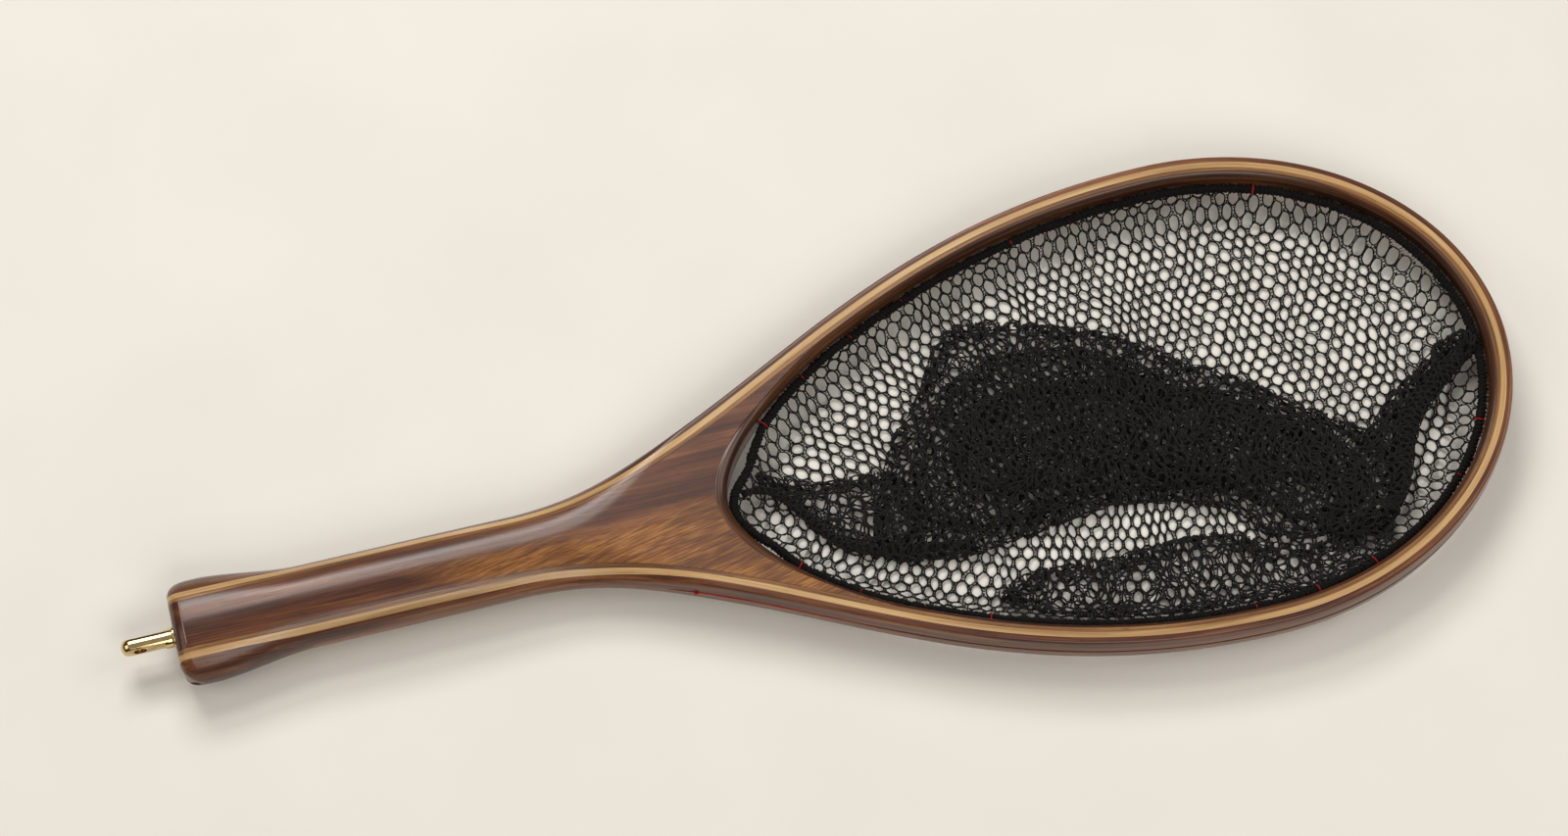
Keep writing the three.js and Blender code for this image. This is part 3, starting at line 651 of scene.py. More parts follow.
def throat_ring():
    inside = np.concatenate([np.linspace(0, 1, 10) ** 1.6 * 0.6, np.linspace(0.66, 1, 9)])[None]
    back = ring_back_offset(ring_loop)[:, None]
    across = mix(-RING_HALF, back, inside)
    at = ring_loop.beside(across)
    x, offset = nearest(at[..., 0], at[..., 1])
    share = throat_share(ring_loop.place[:, :1])
    top = skin(x, offset, across + RING_HALF, np.inf)
    top = top + THROAT_RISE * share * smooth(back - across, 0, THROAT_RISE_WIDTH)
    wall = np.linspace(-1, 1, 7)[None, 1:-1] * top[:, :1]
    z = np.concatenate([there_and_back(top, -1), wall], 1)
    offsets = np.concatenate([there_and_back(across), np.full_like(wall, -RING_HALF)], 1)
    sections = np.concatenate([ring_loop.beside(offsets), (MIDDLE_Z + z)[..., None]], 2)
    grain = strip_grain(ring_loop, offsets, z)
    loft("throat_ring", sections, ring_wood, "frame", closed=True, grain=grain, replaces=["throat_ring"],
         slot="ring_wood")


def block_rows():
    """Pairs of inner and outer places, butt to horn ends."""
    face = RING_GLUE - SEAM * 3
    back = ring_far.moved(ring_back_offset(ring_far) + 2 * SEAM)
    back[0, 1] = 0.0
    horn_end = int(np.argmax(nearest(back[:, 0], back[:, 1])[1] > face - 0.12)) - 1
    back = back[:horn_end + 1]
    outer = far_side.moved(face)
    outer = outer[far_side.place[:, 0] < WIDEST_X]

    def outer_at(x):
        return np.stack([x, np.interp(x, outer[:, 0], outer[:, 1])], -1)

    handle_x = butt_steps(THROAT_X - 12, 90)
    share = (back[:, 0] - back[0, 0]) / (back[-1, 0] - back[0, 0])
    fork_x = mix(THROAT_X - 7, back[-1, 0] + 1, share)
    inner = np.concatenate([np.stack([handle_x, np.zeros_like(handle_x)], 1), back])
    return inner, np.concatenate([outer_at(handle_x), outer_at(fork_x)]), len(handle_x)


def handle_block():
    inner, outer, fork = block_rows()
    share = 1 - (1 - np.linspace(0, 1, 24)) ** 1.4
    plan = inner[:, None] + (outer - inner)[:, None] * share[None, :, None]
    row = np.arange(len(plan))[:, None]
    squared = 1 - smooth(plan[..., 0], 0, BUTT_SETTLE_X)
    plan[..., 0] += butt_x(plan[..., 1]) * squared * (row < fork)
    x, offset = nearest(plan[..., 0], plan[..., 1])
    top = skin(x, offset, np.inf, np.where(row == 0, 0.0, plan[..., 0]))
    rows, columns = top.shape
    points, faces = [], []

    def sheet(side, up):
        ids = len(points) * rows * columns + np.arange(rows * columns).reshape(rows, columns)
        points.append(np.stack([plan[..., 0], side * plan[..., 1], MIDDLE_Z + up * top], 2).reshape(-1, 3))
        return ids

    def skin_grid(ids, flip):
        quads = np.stack([ids[:-1, :-1], ids[1:, :-1], ids[1:, 1:], ids[:-1, 1:]], 2).reshape(-1, 4)
        faces.append(quads[:, ::-1] if flip else quads)

    for side in (1, -1):
        upper, lower = sheet(side, 1), sheet(side, -1)
        flip = side < 0
        skin_grid(upper, flip)
        skin_grid(lower, not flip)
        skin_grid(np.stack([upper[:, -1], lower[:, -1]]), not flip)
        skin_grid(np.stack([upper[0], lower[0]]), not flip)
        skin_grid(np.stack([upper[-1], lower[-1]]), flip)
        skin_grid(np.stack([upper[fork:, 0], lower[fork:, 0]]), flip)
    points, faces = welded(np.concatenate(points), np.concatenate(faces))
    block = make_object("handle_block", points, faces, block_walnut, "frame", ["handle_block"], "dark_walnut")
    cut(block, cylinder("bore_cutter", -2.0, BORE_DEPTH, BORE_RADIUS))
    places = np.array([v.co for v in block.data.vertices]) * 1000 - np.array(PLAN_TO_ROW)
    add_grain(block.data, places - [0, 0, MIDDLE_Z])


def welded(points, faces, grid=1e-4):
    """Joins places that coincide and drops faces that fall to nothing."""
    keys = np.round(points / grid).astype(np.int64)
    _, first, back = np.unique(keys, axis=0, return_index=True, return_inverse=True)
    faces = back.reshape(-1)[faces]
    whole = np.array([len(set(face)) == len(face) for face in faces])
    return points[first], faces[whole]


def cylinder(name, start, end, radius, sides=64, axis="x", x=0.0):
    """A closed cutter about the swivel's axis, or across it at x."""
    angle = turns(sides)
    ring = np.stack([np.cos(angle), np.sin(angle)], 1) * radius
    along = np.repeat([start, end], sides)
    pair = np.tile(ring, (2, 1))
    if axis == "x":
        points = np.stack([along, pair[:, 0], pair[:, 1] + MIDDLE_Z], 1)
    else:
        points = np.stack([x + pair[:, 0], along, pair[:, 1] + MIDDLE_Z], 1)
    return cutter(name, points, loft_faces(2, sides))


def cutter(name, points, faces):
    made = make_object(name, points, faces, walnut, "frame")
    bpy.context.view_layer.objects.active = made
    made.select_set(True)
    bpy.ops.object.mode_set(mode="EDIT")
    bpy.ops.mesh.select_all(action="SELECT")
    bpy.ops.mesh.normals_make_consistent(inside=False)
    bpy.ops.object.mode_set(mode="OBJECT")
    made.select_set(False)
    return made


def cut(target, *cutters):
    """Takes the cutters out of the target and removes them."""
    for tool in cutters:
        modifier = target.modifiers.new("cut", "BOOLEAN")
        modifier.operation, modifier.solver, modifier.object = "DIFFERENCE", "EXACT", tool
        apply_modifiers(target)
        bpy.data.objects.remove(tool)


def apply_modifiers(target):
    bpy.context.view_layer.update()
    graph = bpy.context.evaluated_depsgraph_get()
    mesh = bpy.data.meshes.new_from_object(target.evaluated_get(graph))
    target.modifiers.clear()
    target.data = mesh


# ---- Swivel ----


def lathe(name, outline, sides, material, body, **more):
    """Turns an outline of (x, radius) about the swivel's axis into a closed solid."""
    outline = np.asarray(outline, float)
    angle = turns(sides)
    x = np.repeat(outline[:, :1], sides, 1)
    y = outline[:, 1:] * np.cos(angle)[None]
    z = outline[:, 1:] * np.sin(angle)[None]
    return loft(name, np.stack([x, y, MIDDLE_Z + z], 2), material, body, **more)


def rounded_corners(outline, reach=0.25, steps=4):
    """Outline of (x, radius) with its inner corners rounded off."""
    made = [outline[0]]
    for before, corner, after in zip(outline, outline[1:], outline[2:]):
        before, corner, after = (np.asarray(p, float) for p in (before, corner, after))
        ends = []
        for other in (before, after):
            gap = other - corner
            length = np.linalg.norm(gap)
            ends.append(corner + gap / length * min(reach, length * 0.45))
        for t in np.linspace(0, 1, steps):
            made.append((1 - t) ** 2 * ends[0] + 2 * t * (1 - t) * corner + t**2 * ends[1])
    return [*made, outline[-1]]


def swivel():
    back = FLANGE_THICKNESS + 0.3
    angle = np.linspace(0, math.pi / 2, 16)[:-1]
    dome = [(POST_RADIUS - POST_LENGTH - POST_RADIUS * math.sin(a), POST_RADIUS * math.cos(a)) for a in angle]
    corners = [(SHAFT_END, 0.05), (SHAFT_END, SHAFT_RADIUS), (SLEEVE_LENGTH + 1.4, SHAFT_RADIUS),
               (SLEEVE_LENGTH + 1.4, 2.0), (SLEEVE_LENGTH + 0.2, 2.0), (SLEEVE_LENGTH + 0.2, SHAFT_RADIUS),
               (-back, SHAFT_RADIUS), (-back, POST_RADIUS), (-back - 2, POST_RADIUS)]
    outline = [*rounded_corners(corners), *dome, (-POST_LENGTH, 0.02)]
    post = lathe("swivel_post", outline, 96, brass, "swivel", replaces=["swivel_post"], slot="brass")
    long = POST_LENGTH - TONGUE_START + 4
    for side in (-1, 1):
        low, high = sorted((side * TONGUE_HALF, side * 3 * POST_RADIUS))
        xs, ys, zs = (-TONGUE_START - long, -TONGUE_START), (low, high), (MIDDLE_Z - 9, MIDDLE_Z + 9)
        box = np.array([[x, y, z] for x in xs for y, z in ((ys[0], zs[0]), (ys[1], zs[0]), (ys[1], zs[1]),
                                                           (ys[0], zs[1]))])
        cut(post, cutter("flat_cutter", box, loft_faces(2, 4)))
    cut(post, cylinder("eye_cutter", -9.0, 9.0, EYE_RADIUS, axis="y", x=EYE_X))
    bevel = post.modifiers.new("soft edges", "BEVEL")
    bevel.width, bevel.segments, bevel.limit_method = 0.00035, 3, "ANGLE"
    bevel.angle_limit = math.radians(38)
    apply_modifiers(post)
    post.data.set_sharp_from_angle(angle=math.radians(60))
    inner = SHAFT_RADIUS + 0.1
    sleeve = [(SLEEVE_LENGTH, inner), (SLEEVE_LENGTH, SLEEVE_RADIUS), (0.0, SLEEVE_RADIUS),
              (0.0, FLANGE_RADIUS), (-FLANGE_THICKNESS, FLANGE_RADIUS), (-FLANGE_THICKNESS, inner)]
    sleeve = rounded_corners([*sleeve, sleeve[0]])[1:-1]
    lathe_ring("swivel_sleeve", [*sleeve, (SLEEVE_LENGTH, inner)], 64, brass, "frame",
               replaces=["swivel_sleeve"], slot="brass")


def lathe_ring(name, outline, sides, material, body, **more):
    """Turns a closed outline of (x, radius) about the swivel's axis into a ring."""
    outline = np.asarray(outline, float)[::-1]
    angle = turns(sides)[:, None]
    x, radius = np.repeat(outline[None, :, 0], sides, 0), outline[None, :, 1]
    sections = np.stack([x, radius * np.cos(angle), MIDDLE_Z + radius * np.sin(angle)], 2)
    loft(name, sections, material, body, closed=True, **more)


# ---- Hem and lacing ----

HEM_ACROSS = -RING_HALF - HEM_STANDOFF - HEM_RADIUS + 0.75
HEM_BULK = 2.1  # the cord with the edge meshes gathered on it
HEM_STEPS, HEM_SIDES = 2600, 14
THROAT_GAP_FAR, THROAT_GAP_NEAR = 4.4, 2.6


def hem_path(run):
    """Centre line of the hem. It stands off the ring on either side of the throat knot."""
    x, y = run.place.T
    bow = np.where(y > 0, THROAT_GAP_FAR * np.exp(-(((y - 22) / 13.0) ** 2)),
                   THROAT_GAP_NEAR * np.exp(-(((y + 27) / 11.0) ** 2)))
    slack = bow * (1 - smooth(x, 285, 325))
    plan = run.moved(HEM_ACROSS - slack)
    arc = run.arc
    sway = 0.35 * np.sin(arc / 6.3 + 2 * np.sin(arc / 19.0))
    return np.concatenate([plan, (MIDDLE_Z + sway - 0.2 * slack)[:, None]], 1)


def hem():
    closed = join(ring_loop, ring_loop.where(slice(0, 1)))
    length = closed.arc[-1]
    path = hem_path(closed.at(np.linspace(0, length, HEM_STEPS, endpoint=False)))
    spoke = tube(path, 1.0, HEM_SIDES, closed=True) - path[:, None]
    angle = turns(HEM_SIDES)[None]
    arc = np.linspace(0, length, HEM_STEPS)[:, None]
    lumps = 0.22 * np.sin(arc * 2 * math.pi / 2.1 + 2 * angle)
    lumps = lumps + 0.2 * waves(arc, angle * 1.5, 5, 4.0) + 0.15 * waves(arc, angle * 2.5, 6, 11.0)
    lumps = lumps + rng.uniform(-0.3, 0.3, (HEM_STEPS, HEM_SIDES))
    loft("bag_hem", path[:, None] + spoke * (HEM_BULK + lumps)[..., None], cord_cloth, "frame", closed=True,
         replaces=["bag_hem"], slot="netting")


def stitch_runs():
    side = ring_far.where(ring_far.place[:, 0] >= STITCH_FIRST_X)
    run = join(side.mirrored(), side.reverse().where(slice(1, None)))
    return run.at(np.linspace(0, run.arc[-1], STITCH_COUNT))


# Where the stitches ride over the hem; the others are sunk among its loops.
SHOWING_REACH = 12.0
SHOWING = np.array([(536, 104), (558, 95), (585, 78), (619, -33), (545, -99), (509, -107), (286, -41),
                    (289, 41), (362, -79)])


def stitches():
    run = stitch_runs()
    turn = np.linspace(0.1, 2 * math.pi - 0.35, STITCH_STEPS)
    level = np.zeros(len(STITCH_LEAD))
    for i in range(STITCH_COUNT):
        place, normal = run.place[i], run.normal[i]
        way = np.array([-normal[1], normal[0]])
        lean = rng.uniform(-0.5, 0.5)
        showing = np.hypot(*(SHOWING - place).T).min() < SHOWING_REACH
        reach = HEM_BULK + (rng.uniform(0.2, 0.45) if showing else -0.7)
        across = np.concatenate([STITCH_LEAD, HEM_ACROSS + RING_HALF + reach * np.cos(turn)]) - RING_HALF
        z = np.concatenate([level, reach * np.sin(turn)])
        drift = np.concatenate([level, lean * np.linspace(0, 1.6, STITCH_STEPS)])
        plan = place + across[:, None] * normal + drift[:, None] * way
        path = np.concatenate([plan, (MIDDLE_Z + z)[:, None]], 1)
        name = f"lacing_stitch_{i + 1:02d}"
        loft(name, tube(path, STITCH_RADIUS, 8), red_thread, "frame", replaces=[name], slot="red_thread")


def groove_thread():
    """Thread round the hoop: on the surface by its knot, then deeper in the groove."""
    keep = whole_run.place[:, 0] > THREAD_START_X
    run = whole_run.where(keep).reverse()
    run = run.at(np.linspace(0, run.arc[-1], 900))
    arc = run.arc[:, None]
    x = run.place[:, 0]
    crown = SIDE_CROWN * smooth(x, *ROLL_X)
    depth = mix(0.1, 0.95, smooth(arc[:, 0], 8, 120))
    depth = np.minimum(depth, 0.1 + GROOVE_DEPTH * smooth(x, *GROOVE_X))
    plan = run.moved(OUTER_FACE + crown - depth)
    path = np.concatenate([plan, np.full((len(plan), 1), MIDDLE_Z)], 1)
    spoke = tube(path, THREAD_RADIUS, THREAD_SIDES) - path[:, None]
    twist = 1 + 0.12 * np.sin(arc * 2 * math.pi / 1.1 + 2 * turns(THREAD_SIDES)[None])
    sections = path[:, None] + spoke * twist[..., None]
    loft("lacing_thread", sections, red_thread, "frame", replaces=["lacing_thread"], slot="red_thread")
    return run, path


def knot(run, path):
    """The knot that starts the thread, with its cut tail."""
    turn = np.linspace(0, 2 * math.pi * 2.6, 70)
    start = path[0]
    way = unit(np.array([*(path[4] - path[0])[:2], 0.0]))
    out = np.array([*run.normal[0], 0.0])
    coil = (start + out * 0.45 + way * (0.75 * np.sin(turn * 0.62))[:, None]
            + out * (0.55 * np.cos(turn) - 0.1)[:, None] + UP * (0.85 * np.sin(turn))[:, None])
    tail = coil[-1] + np.linspace(0, 1, 8)[1:, None] * (-way * 2.6 + UP * 0.7 + out * 0.2)
    loft("thread_knot", tube(np.concatenate([coil, tail]), 0.4, 8), red_thread, "frame", slot="red_thread")


# ---- Netting ----

PITCH = 6.4  # between holes along a row
ROW = PITCH * math.sqrt(3) / 2
STRAND = 0.41
HOLE = np.array([(0, 3.85), (2.5, 1.75), (2.5, -1.75), (0, -3.85), (-2.5, -1.75), (-2.5, 1.75)])
CORNER_CUT = 0.23
RUNG_START, KNOT_HALF = 2.35, 0.75
YARN_SIDES = 5
LAY_STEP = 0.4  # step in fabric over which a surface's slope is measured
PIECE_TRIANGLES = 190000


def hole_outline():
    """Twelve places round one hole, two at each corner."""
    after = np.roll(HOLE, -1, 0)
    pairs = np.stack([mix(HOLE, after, CORNER_CUT), mix(HOLE, after, 1 - CORNER_CUT)], 1)
    return pairs.reshape(-1, 2)


def lattice(width, depth):
    """Hole centres of knitted fabric, rows along the first axis."""
    columns, rows = int(width / PITCH) + 1, int(depth / ROW) + 1
    i, j = np.meshgrid(np.arange(columns), np.arange(rows), indexing="ij")
    return np.stack([(i + 0.5 * (j % 2)) * PITCH, j * ROW], 2).reshape(-1, 2)


SPINDLE_FACES = np.array([(0, 2, 4), (0, 4, 3), (0, 3, 5), (0, 5, 2),
                          (1, 4, 2), (1, 3, 4), (1, 5, 3), (1, 2, 5)])


def spindles(start, end, thickness, normal):
    """Corners of closed slim bits of yarn between pairs of places, six to each."""
    middle = (start + end) / 2
    side = unit(np.cross(end - start, normal), 1e-6)
    width, height = side * thickness, normal * thickness * 0.9
    return np.stack([start, end, middle + width, middle - width, middle + height, middle - height], 1)


def rung_ends():
    """Both ends of the yarn beside a hole: three rungs to the next, one on each slanting bar, two knots."""
    ends = [((RUNG_START, along), (PITCH - RUNG_START, along)) for along in (-1.25, 0.0, 1.25)]
    for side in (1, -1):
        middle, across = np.array([side * PITCH / 4, ROW / 2]), np.array([side * 0.3, 0.5]) * 1.1
        ends.append((middle - across, middle + across))
    for up in (1, -1):
        corner = up * PITCH / math.sqrt(3)
        ends.append(((-KNOT_HALF, corner), (KNOT_HALF, corner)))
    return np.array(ends, float)


RUNGS = rung_ends()
RUNG_THICKNESS = [0.75 * STRAND] * 5 + [1.45 * STRAND] * 2


def repeated(faces, copies, step):
    """Faces of many copies of one shape that has step corners."""
    return (faces[None] + (np.arange(copies) * step)[:, None, None]).reshape(-1, faces.shape[1])


def knit(name, surface, centres, piece=None, keep=None, jitter=0.13):
    """Netting over a surface that takes fabric places to space: a loop of yarn round every hole, rungs that
    tie the loops together, and knots where three of them meet."""
    random = np.random.default_rng(len(centres))
    if keep:
        centres = centres[keep(surface(centres[:, 0], centres[:, 1]))]
    outline = hole_outline()
    size = random.normal(1.0, 0.05, (len(centres), 1, 1)) * random.normal(1.0, 0.03, (len(centres), 1, 2))
    fabric = centres[:, None] + random.normal(0, jitter, (len(centres), 1, 2)) + outline[None] * size
    fabric = fabric + random.normal(0, jitter * 0.8, fabric.shape)
    lift = random.normal(0, 0.16, fabric.shape[:2])

    def lay(places, up=0.0):
        u, v = places[..., 0], places[..., 1]
        here = surface(u, v)
        normal = unit(np.cross(surface(u + LAY_STEP, v) - here, surface(u, v + LAY_STEP) - here), 1e-9)
        return here + normal * np.asarray(up)[..., None], normal

    path, normal = lay(fabric, lift)
    side = np.cross(unit(np.roll(path, -1, 1) - np.roll(path, 1, 1), 1e-9), normal)
    angle = turns(YARN_SIDES)
    thick = STRAND * random.normal(1.0, 0.1, path.shape[:2])[..., None, None]
    ring = side[:, :, None] * np.cos(angle)[:, None] + normal[:, :, None] * np.sin(angle)[:, None] * 0.85
    loops = path[:, :, None] + ring * thick
    loop_corners = len(outline) * YARN_SIDES
    loop_faces = loft_faces(len(outline), YARN_SIDES, closed=True)[0]

    starts, normals = lay((centres + RUNGS[:, None, 0]).reshape(-1, 2))
    ends, _ = lay((centres + RUNGS[:, None, 1]).reshape(-1, 2))
    thickness = np.repeat(RUNG_THICKNESS, len(centres))[:, None]
    rungs = spindles(starts, ends, thickness, normals).reshape(len(RUNGS), -1, 6, 3)

    order = np.argsort(path[:, 0, 0])
    hole_triangles = loop_corners * 2 + len(RUNGS) * len(SPINDLE_FACES)
    parts = max(1, math.ceil(len(centres) * hole_triangles / PIECE_TRIANGLES))
    for number, chosen in enumerate(np.array_split(order, parts)):
        points = [loops[chosen].reshape(-1, 3), rungs[:, chosen].reshape(-1, 3)]
        faces = [repeated(loop_faces, len(chosen), loop_corners),
                 repeated(SPINDLE_FACES, len(RUNGS) * len(chosen), 6) + len(points[0])]
        make_object(name if parts == 1 else f"{name}_{number + 1}", np.concatenate(points), faces, netting,
                    "frame", [piece] if piece else (), "netting", sharp=0)


# Fallen bag: two panels from the hem down to the surface that the net lies on, and the slack folded on top.
SKIN_Z = 0.7
RIM_FALL = 15.0
RIM_SLACK = 5.6  # how much longer the fabric is than its fall in plan
KEEL_ENDS = ((270.0, 8.0), (629.0, 0.0))
KEEL_Y = -34.0
PANEL_DEPTH = 175.0

hem_line = hem_path(ring_loop)


def rim_distance(x, y):
    """Distance in plan inwards from the hem, negative outside it."""
    points, line = pairs(x, y), hem_line[:, :2]
    best, gap = closest(points, line)
    inwards = -((points - line[best]) * ring_loop.normal[best]).sum(1)
    return (np.sign(inwards) * gap).reshape(np.shape(x))


def keel_y(x):
    """Where the two panels meet, under the folds: it runs from the throat knot to the tip."""
    share = smooth(x, KEEL_ENDS[0][0], 330) * (1 - smooth(x, 560, KEEL_ENDS[1][0]))
    return mix(np.interp(x, *zip(*KEEL_ENDS)), KEEL_Y, share)


def base_height(x, y):
    fall = 1 - smooth(rim_distance(x, y), -1.0, RIM_FALL)
    ripple = 0.7 * (0.5 + 0.5 * waves(x, y, 11, 55.0, 2)) + 0.3 * (0.5 + 0.5 * waves(x, y, 12, 17.0, 2))
    return mix(SKIN_Z + ripple, MIDDLE_Z - 0.4, fall)


def panel_run():
    """The hoop's flank, run straight on past the tip."""
    x = np.linspace(WIDEST_X + 1, 680, 60)
    beyond = Run(pairs(x, np.full_like(x, HOOP_HALF)), np.tile([0.0, 1.0], (len(x), 1)))
    return join(flank_run(np.linspace(0.25, 1, 200)), beyond)


PANEL_RUN = panel_run()


def panel_surface(side):
    arc = PANEL_RUN.arc

    def surface(u, v):
        u, v = np.broadcast_arrays(u, v)
        place, normal = sampled(u, arc, PANEL_RUN.place), sampled(u, arc, PANEL_RUN.normal)
        depth = v - RIM_SLACK * smooth(v, 0.0, 1.4 * RIM_FALL) + 4.0 + 1.5 * waves(u, v, 21 + side, 60.0, 2)
        x = place[..., 0] - normal[..., 0] * depth + 1.6 * waves(u, v, 31 + side, 45.0, 2)
        y = side * (place[..., 1] - normal[..., 1] * depth)
        return np.stack([x, y, base_height(x, y)], -1)

    return surface


def panels():
    arc_end = PANEL_RUN.arc[-1]
    for side, name in ((1, "bag_panel_far"), (-1, "bag_panel_near")):
        def keep(at, side=side):
            x, y = at[..., 0], at[..., 1]
            return (rim_distance(x, y) > 0.4) & (side * (y - keel_y(x)) > -2.0)

        knit(name, panel_surface(side), lattice(arc_end, PANEL_DEPTH), name, keep)


def closed_curve(points, count=160):
    """A smooth closed outline through a few places in plan."""
    points = np.asarray(points, float)
    n = len(points)
    t = np.linspace(0, n, count, endpoint=False)
    i = t.astype(int)
    f = (t - i)[:, None]
    a, b, c, d = (points[(i + k) % n] for k in (-1, 0, 1, 2))
    return 0.5 * (2 * b + (c - a) * f + (2 * a - 5 * b + 4 * c - d) * f**2 + (3 * b - a - 3 * c + d) * f**3)


def outline_distance(outline, x, y):
    """Signed distance to an outline, positive inside, and the nearest place on it."""
    points = pairs(x, y)
    following = np.roll(outline, -1, 0)
    crossing = ((outline[None, :, 1] > points[:, None, 1]) != (following[None, :, 1] > points[:, None, 1]))
    slope = (following - outline)[None]
    at = outline[None, :, 0] + slope[..., 0] * (points[:, None, 1] - outline[None, :, 1]) / np.where(
        slope[..., 1] == 0, 1e-9, slope[..., 1])
    inside = (crossing & (points[:, None, 0] < at)).sum(1) % 2 == 1
    best, gap = closest(points, outline)
    signed = np.where(inside, gap, -gap).reshape(np.shape(x))
    return signed, outline[best].reshape(*np.shape(x), 2)


FOLD_UNDER = 7.0  # how far a layer goes on beyond its outline,
FOLD_TUCK = 1.9  # where it is turned back under by nearly as much
FOLD_ROLL = 9.0  # how far in from its edge a layer reaches its height


def fold(name, outline, low, high, turn, squeeze, seed):
    """A layer of slack netting on the panels, lifted to a rounded edge along its outline."""
    outline = closed_curve(outline)
    centre = outline.mean(0)
    reach = np.abs(outline - centre).max() * 1.5
    c, s = math.cos(math.radians(turn)), math.sin(math.radians(turn))

    def to_plan(u, v, sway=(0.0, 0.0)):
        a, b = u * squeeze[0] - reach + sway[0], v * squeeze[1] - reach + sway[1]
        return centre[0] + a * c - b * s, centre[1] + a * s + b * c

    def surface(u, v):
        u, v = np.broadcast_arrays(u, v)
        x, y = to_plan(u, v, (3.0 * waves(u, v, seed, 34.0, 2), 3.0 * waves(u, v, seed + 1, 30.0, 2)))
        inside, edge = outline_distance(outline, x, y)
        under = inside < 0
        x = np.where(under, mix(x, edge[..., 0], FOLD_TUCK), x)
        y = np.where(under, mix(y, edge[..., 1], FOLD_TUCK), y)
        rise = np.sqrt(np.clip(1 - (1 - np.clip(inside / FOLD_ROLL, 0, 1)) ** 2, 0, 1))
        ridges = 0.5 + 0.5 * waves(x, y, seed + 2, 26.0, 3)
        thickness = np.where(under, np.clip(1 + inside / 1.5, 0, 1) * 0.8, 0.8 + (high - low) * rise)
        return np.stack([x, y, base_height(x, y) + low + thickness * (0.45 + 0.75 * ridges)], -1)

    centres = lattice(2 * reach / squeeze[0], 2 * reach / squeeze[1])
    inside, _ = outline_distance(outline, *to_plan(centres[:, 0], centres[:, 1]))
    knit(name, surface, centres[inside > -FOLD_UNDER], jitter=0.16)


# Outlines of the folded layers in plan, in millimetres, as the fallen bag lies.
FOLD_WHOLE = [(342, 14), (363, 39), (385, 68), (424, 62), (464, 46), (488, 28), (512, 12), (540, -10),
              (567, -32), (577, -61), (553, -77), (507, -72), (489, -53), (445, -39), (396, -43),
              (367, -46), (325, -34)]
FOLD_INNER = [(352, 8), (372, 34), (400, 48), (445, 44), (480, 20), (520, -5), (548, -28), (560, -58),
              (530, -70), (490, -46), (440, -32), (380, -36), (345, -24)]
FOLD_CORE = [(372, 14), (405, 30), (461, 22), (508, -3), (535, -24), (545, -50), (500, -44), (448, -26),
             (379, -18)]
FOLD_LOWER = [(375, -72), (392, -60), (430, -62), (480, -62), (520, -78), (562, -74), (556, -90), (534, -103),
              (496, -104), (450, -100), (407, -90)]
FOLD_THROAT = [(277, 14), (292, 13), (309, 7), (340, 4), (350, -20), (340, -36), (310, -25), (299, -14),
               (289, 2)]
FOLD_TIP = [(611, 5), (623, 3), (625, -7), (613, -11), (601, -16), (590, -31), (582, -51), (574, -66),
            (559, -78), (544, -82), (530, -73), (541, -58), (552, -43), (561, -35), (576, -20),
            (591, -9), (603, -2)]


ROLL_SQUEEZE = 0.55  # how far the gathered netting is drawn together
ROLL_SOFTENING = 41  # steps over which the corners of a roll's path are rounded


def roll_of_netting(name, path, radius, piece=None, flat=0.75, layers=1):
    """Netting gathered into a soft roll along a path, for the sewn seam of the bag."""
    path = np.asarray(path, float)
    arc = arc_length(path)
    length = arc[-1]
    dense = np.linspace(0, length, 200)
    kernel = np.hanning(ROLL_SOFTENING) / np.hanning(ROLL_SOFTENING).sum()
    beyond = ROLL_SOFTENING // 2
    padded = np.pad(sampled(dense, arc, path), ((beyond, beyond), (0, 0)), mode="edge")
    line = np.stack([np.convolve(column, kernel, "valid") for column in padded.T], 1)
    side = unit(np.cross(unit(np.gradient(line, axis=0)), UP))
    core = (0.55 + 0.3 * np.sin(math.pi * dense / length)) * (0.9 + 0.12 * waves(dense, dense, 57, 9.0, 2))
    sections = tube(line, radius * core, 12)
    sections[..., 2] = line[:, None, 2] + (sections[..., 2] - line[:, None, 2]) * flat
    loft(f"{name}_core", sections, cord_cloth, "frame", slot="netting")
    for layer in range(layers):
        size = 1.0 - 0.3 * layer

        def surface(u, v, size=size, layer=layer):
            u, v = np.broadcast_arrays(u, v)
            along = np.clip(u * ROLL_SQUEEZE, 0, length)
            turn = v * ROLL_SQUEEZE / (radius * size) + 0.35 * waves(u, v, 51 + layer, 25.0, 2)
            belly = 0.75 + 0.35 * np.sin(math.pi * along / length) + 0.16 * waves(u, v, 61 + layer, 13.0, 3)
            grow = radius * size * belly
            out = sampled(along, dense, side) * (np.cos(turn) * grow)[..., None]
            out[..., 2] += np.sin(turn) * grow * flat
            return sampled(along, dense, line) + out

        centres = lattice(length / ROLL_SQUEEZE, 2 * math.pi * radius * size / ROLL_SQUEEZE - PITCH * 0.4)
        knit(f"{name}_{layer + 1}", surface, centres, piece if layer == 0 else None, jitter=0.3)


# ---- Put it together ----

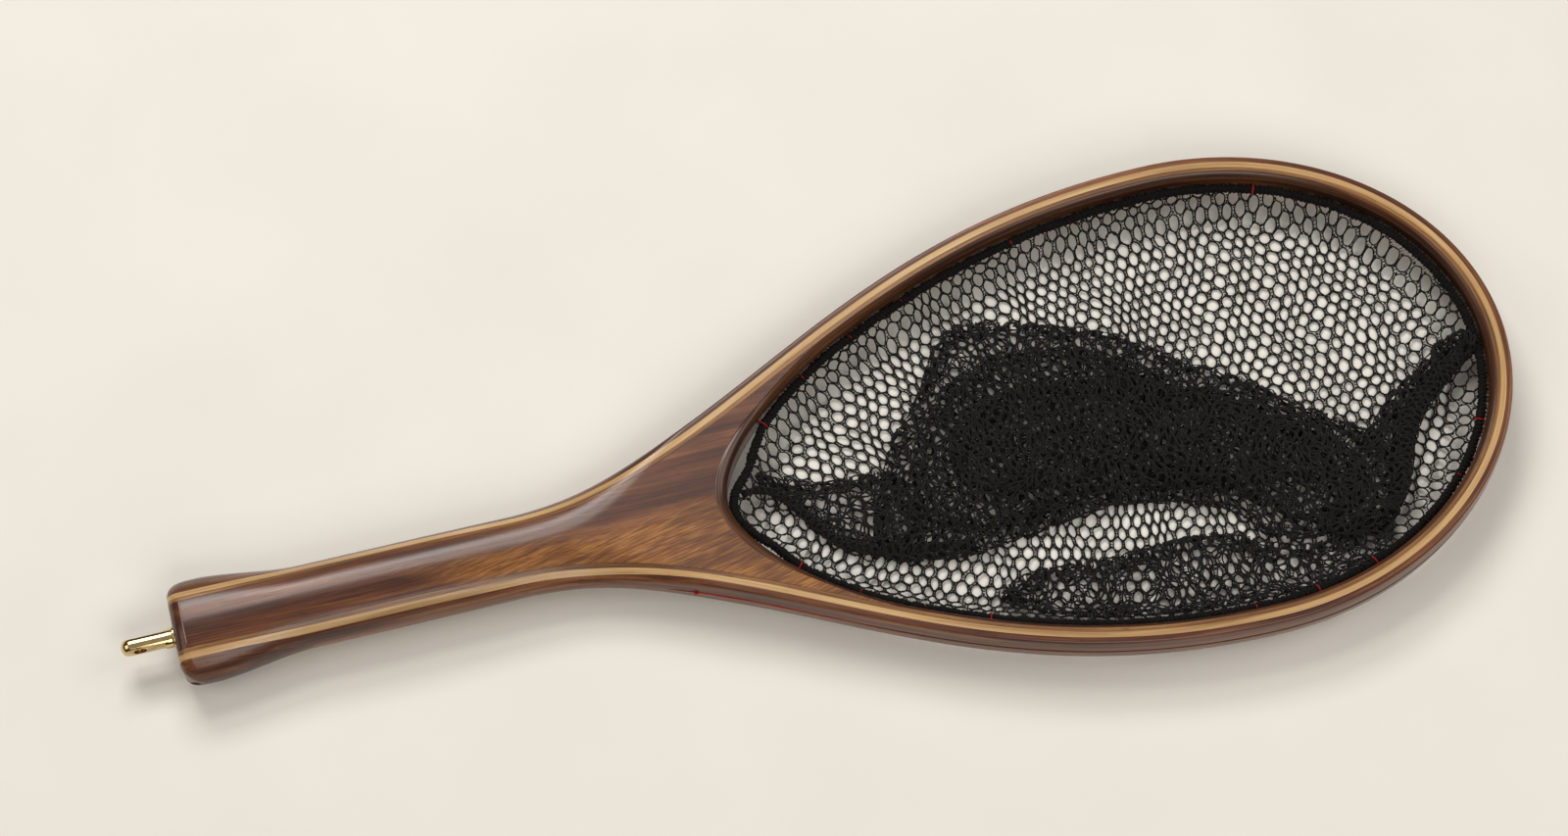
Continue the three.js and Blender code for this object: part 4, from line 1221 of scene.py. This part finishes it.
outer_lamination()
plain_strip("pale_lamination", INNER_GLUE + SEAM, OUTER_GLUE - SEAM, maple, "maple")
plain_strip("inner_lamination", RING_GLUE + SEAM, INNER_GLUE - SEAM, inner_walnut, "walnut")
throat_ring()
handle_block()
cheek("butt_cheek_far", 1)
cheek("butt_cheek_near", -1)
swivel()
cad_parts["swivel_clip"].data.materials[0] = brass
hem()
stitches()
knot(*groove_thread())
panels()
fold("bag_fold_lower", FOLD_LOWER, 1.0, 4.0, -14, (0.8, 0.72), 81)
fold("bag_fold_whole", FOLD_WHOLE, 1.2, 5.0, -24, (0.86, 0.8), 71)
fold("bag_fold_inner", FOLD_INNER, 2.6, 7.4, 16, (0.74, 0.74), 74)
fold("bag_fold_throat", FOLD_THROAT, 1.0, 4.0, 8, (0.8, 0.5), 88)
fold("bag_fold_tip", FOLD_TIP, 2.0, 7.5, -55, (0.5, 0.55), 91)
fold("bag_fold_core", FOLD_CORE, 4.4, 9.2, -8, (0.62, 0.66), 77)
roll_of_netting("bag_seam_throat", [(268, 6, 13), (279, 9, 10), (289, 3, 6), (299, -12, 4.5), (308, -25, 4),
                                    (324, -33, 3.8), (342, -37, 3.8), (372, -40, 3.6)], 2.2, "bag_keel_seam")
roll_of_netting("bag_seam_tip", [(629, 0, 13), (617, -7, 10), (603, -16, 8.5), (588, -28, 8), (578, -44, 7.5),
                                 (572, -60, 6.5), (563, -74, 5.5)], 4.6, None, 0.7, 2)


# ---- Room ----


FLOOR_HALF = 6.0
DAYLIGHT = (1.0, 0.985, 0.955)


def floor():
    mesh = bpy.data.meshes.new("floor")
    corners = [(-1, -1), (1, -1), (1, 1), (-1, 1)]
    mesh.from_pydata([(x * FLOOR_HALF, y * FLOOR_HALF, 0) for x, y in corners], [], [(0, 1, 2, 3)])
    n = Nodes("floor_paper")
    at = n.add("ShaderNodeTexCoord").outputs["Object"]
    mottle = n.noise(at, scale=9.0, detail=3.0).outputs[0]
    n.set(Base_Color=n.ramp(mottle, [(0.3, "e5e0d7"), (0.7, "e9e4dc")]).outputs[0], Roughness=0.85)
    n.set(Specular_IOR_Level=0.1)
    mesh.materials.append(n.material)
    linked("floor", mesh)


def area_light(name, place, size, power, colour=DAYLIGHT):
    """A rectangular lamp aimed at the middle of the net."""
    data = bpy.data.lights.new(name, "AREA")
    data.shape, data.size, data.size_y = "RECTANGLE", *size
    data.energy, data.color = power, colour
    made = linked(name, data)
    made.location = place
    made.rotation_euler = (-Vector(place)).to_track_quat("-Z", "Y").to_euler()


floor()
area_light("window_far", (-0.2, 1.75, 1.65), (1.4, 0.55), 24, (1.0, 0.99, 0.97))
area_light("skylight", (-0.25, 1.25, 2.1), (1.4, 0.5), 14, (1.0, 0.99, 0.96))
area_light("ceiling", (0.1, -0.3, 2.7), (3.0, 3.0), 8)
area_light("window_left", (-2.1, 0.0, 1.9), (1.6, 1.6), 13)
area_light("window_right", (2.1, -0.1, 1.9), (1.6, 1.6), 20)
area_light("wall_near", (0.3, -2.0, 1.9), (1.8, 1.4), 27)

world = bpy.data.worlds.new("room")
bpy.context.scene.world = world
world.use_nodes = True
background = world.node_tree.nodes["Background"]
background.inputs["Color"].default_value = (1.0, 0.98, 0.95, 1.0)
background.inputs["Strength"].default_value = 0.06

# The camera looks down steeply from the near side, a little from the butt's end.
CAMERA_RANGE = 1.8
CAMERA_AZIMUTH, CAMERA_HEIGHT = math.radians(-14.06), math.radians(67.65)
CAMERA_LENS, CAMERA_SENSOR = 86.98, 36.0
CAMERA_TARGET = Vector((299.22, 44.11, 0.0))  # in plan
target = (CAMERA_TARGET + PLAN_TO_ROW) / 1000
away = Vector((math.sin(CAMERA_AZIMUTH) * math.cos(CAMERA_HEIGHT),
               -math.cos(CAMERA_AZIMUTH) * math.cos(CAMERA_HEIGHT), math.sin(CAMERA_HEIGHT)))
camera_data = bpy.data.cameras.new("camera")
camera_data.sensor_width, camera_data.lens = CAMERA_SENSOR, CAMERA_LENS
camera = linked("camera", camera_data)
camera.location = target + away * CAMERA_RANGE
camera.rotation_euler = (-away).to_track_quat("-Z", "Y").to_euler()
bpy.context.scene.camera = camera
bpy.context.scene.view_settings.view_transform = "Standard"
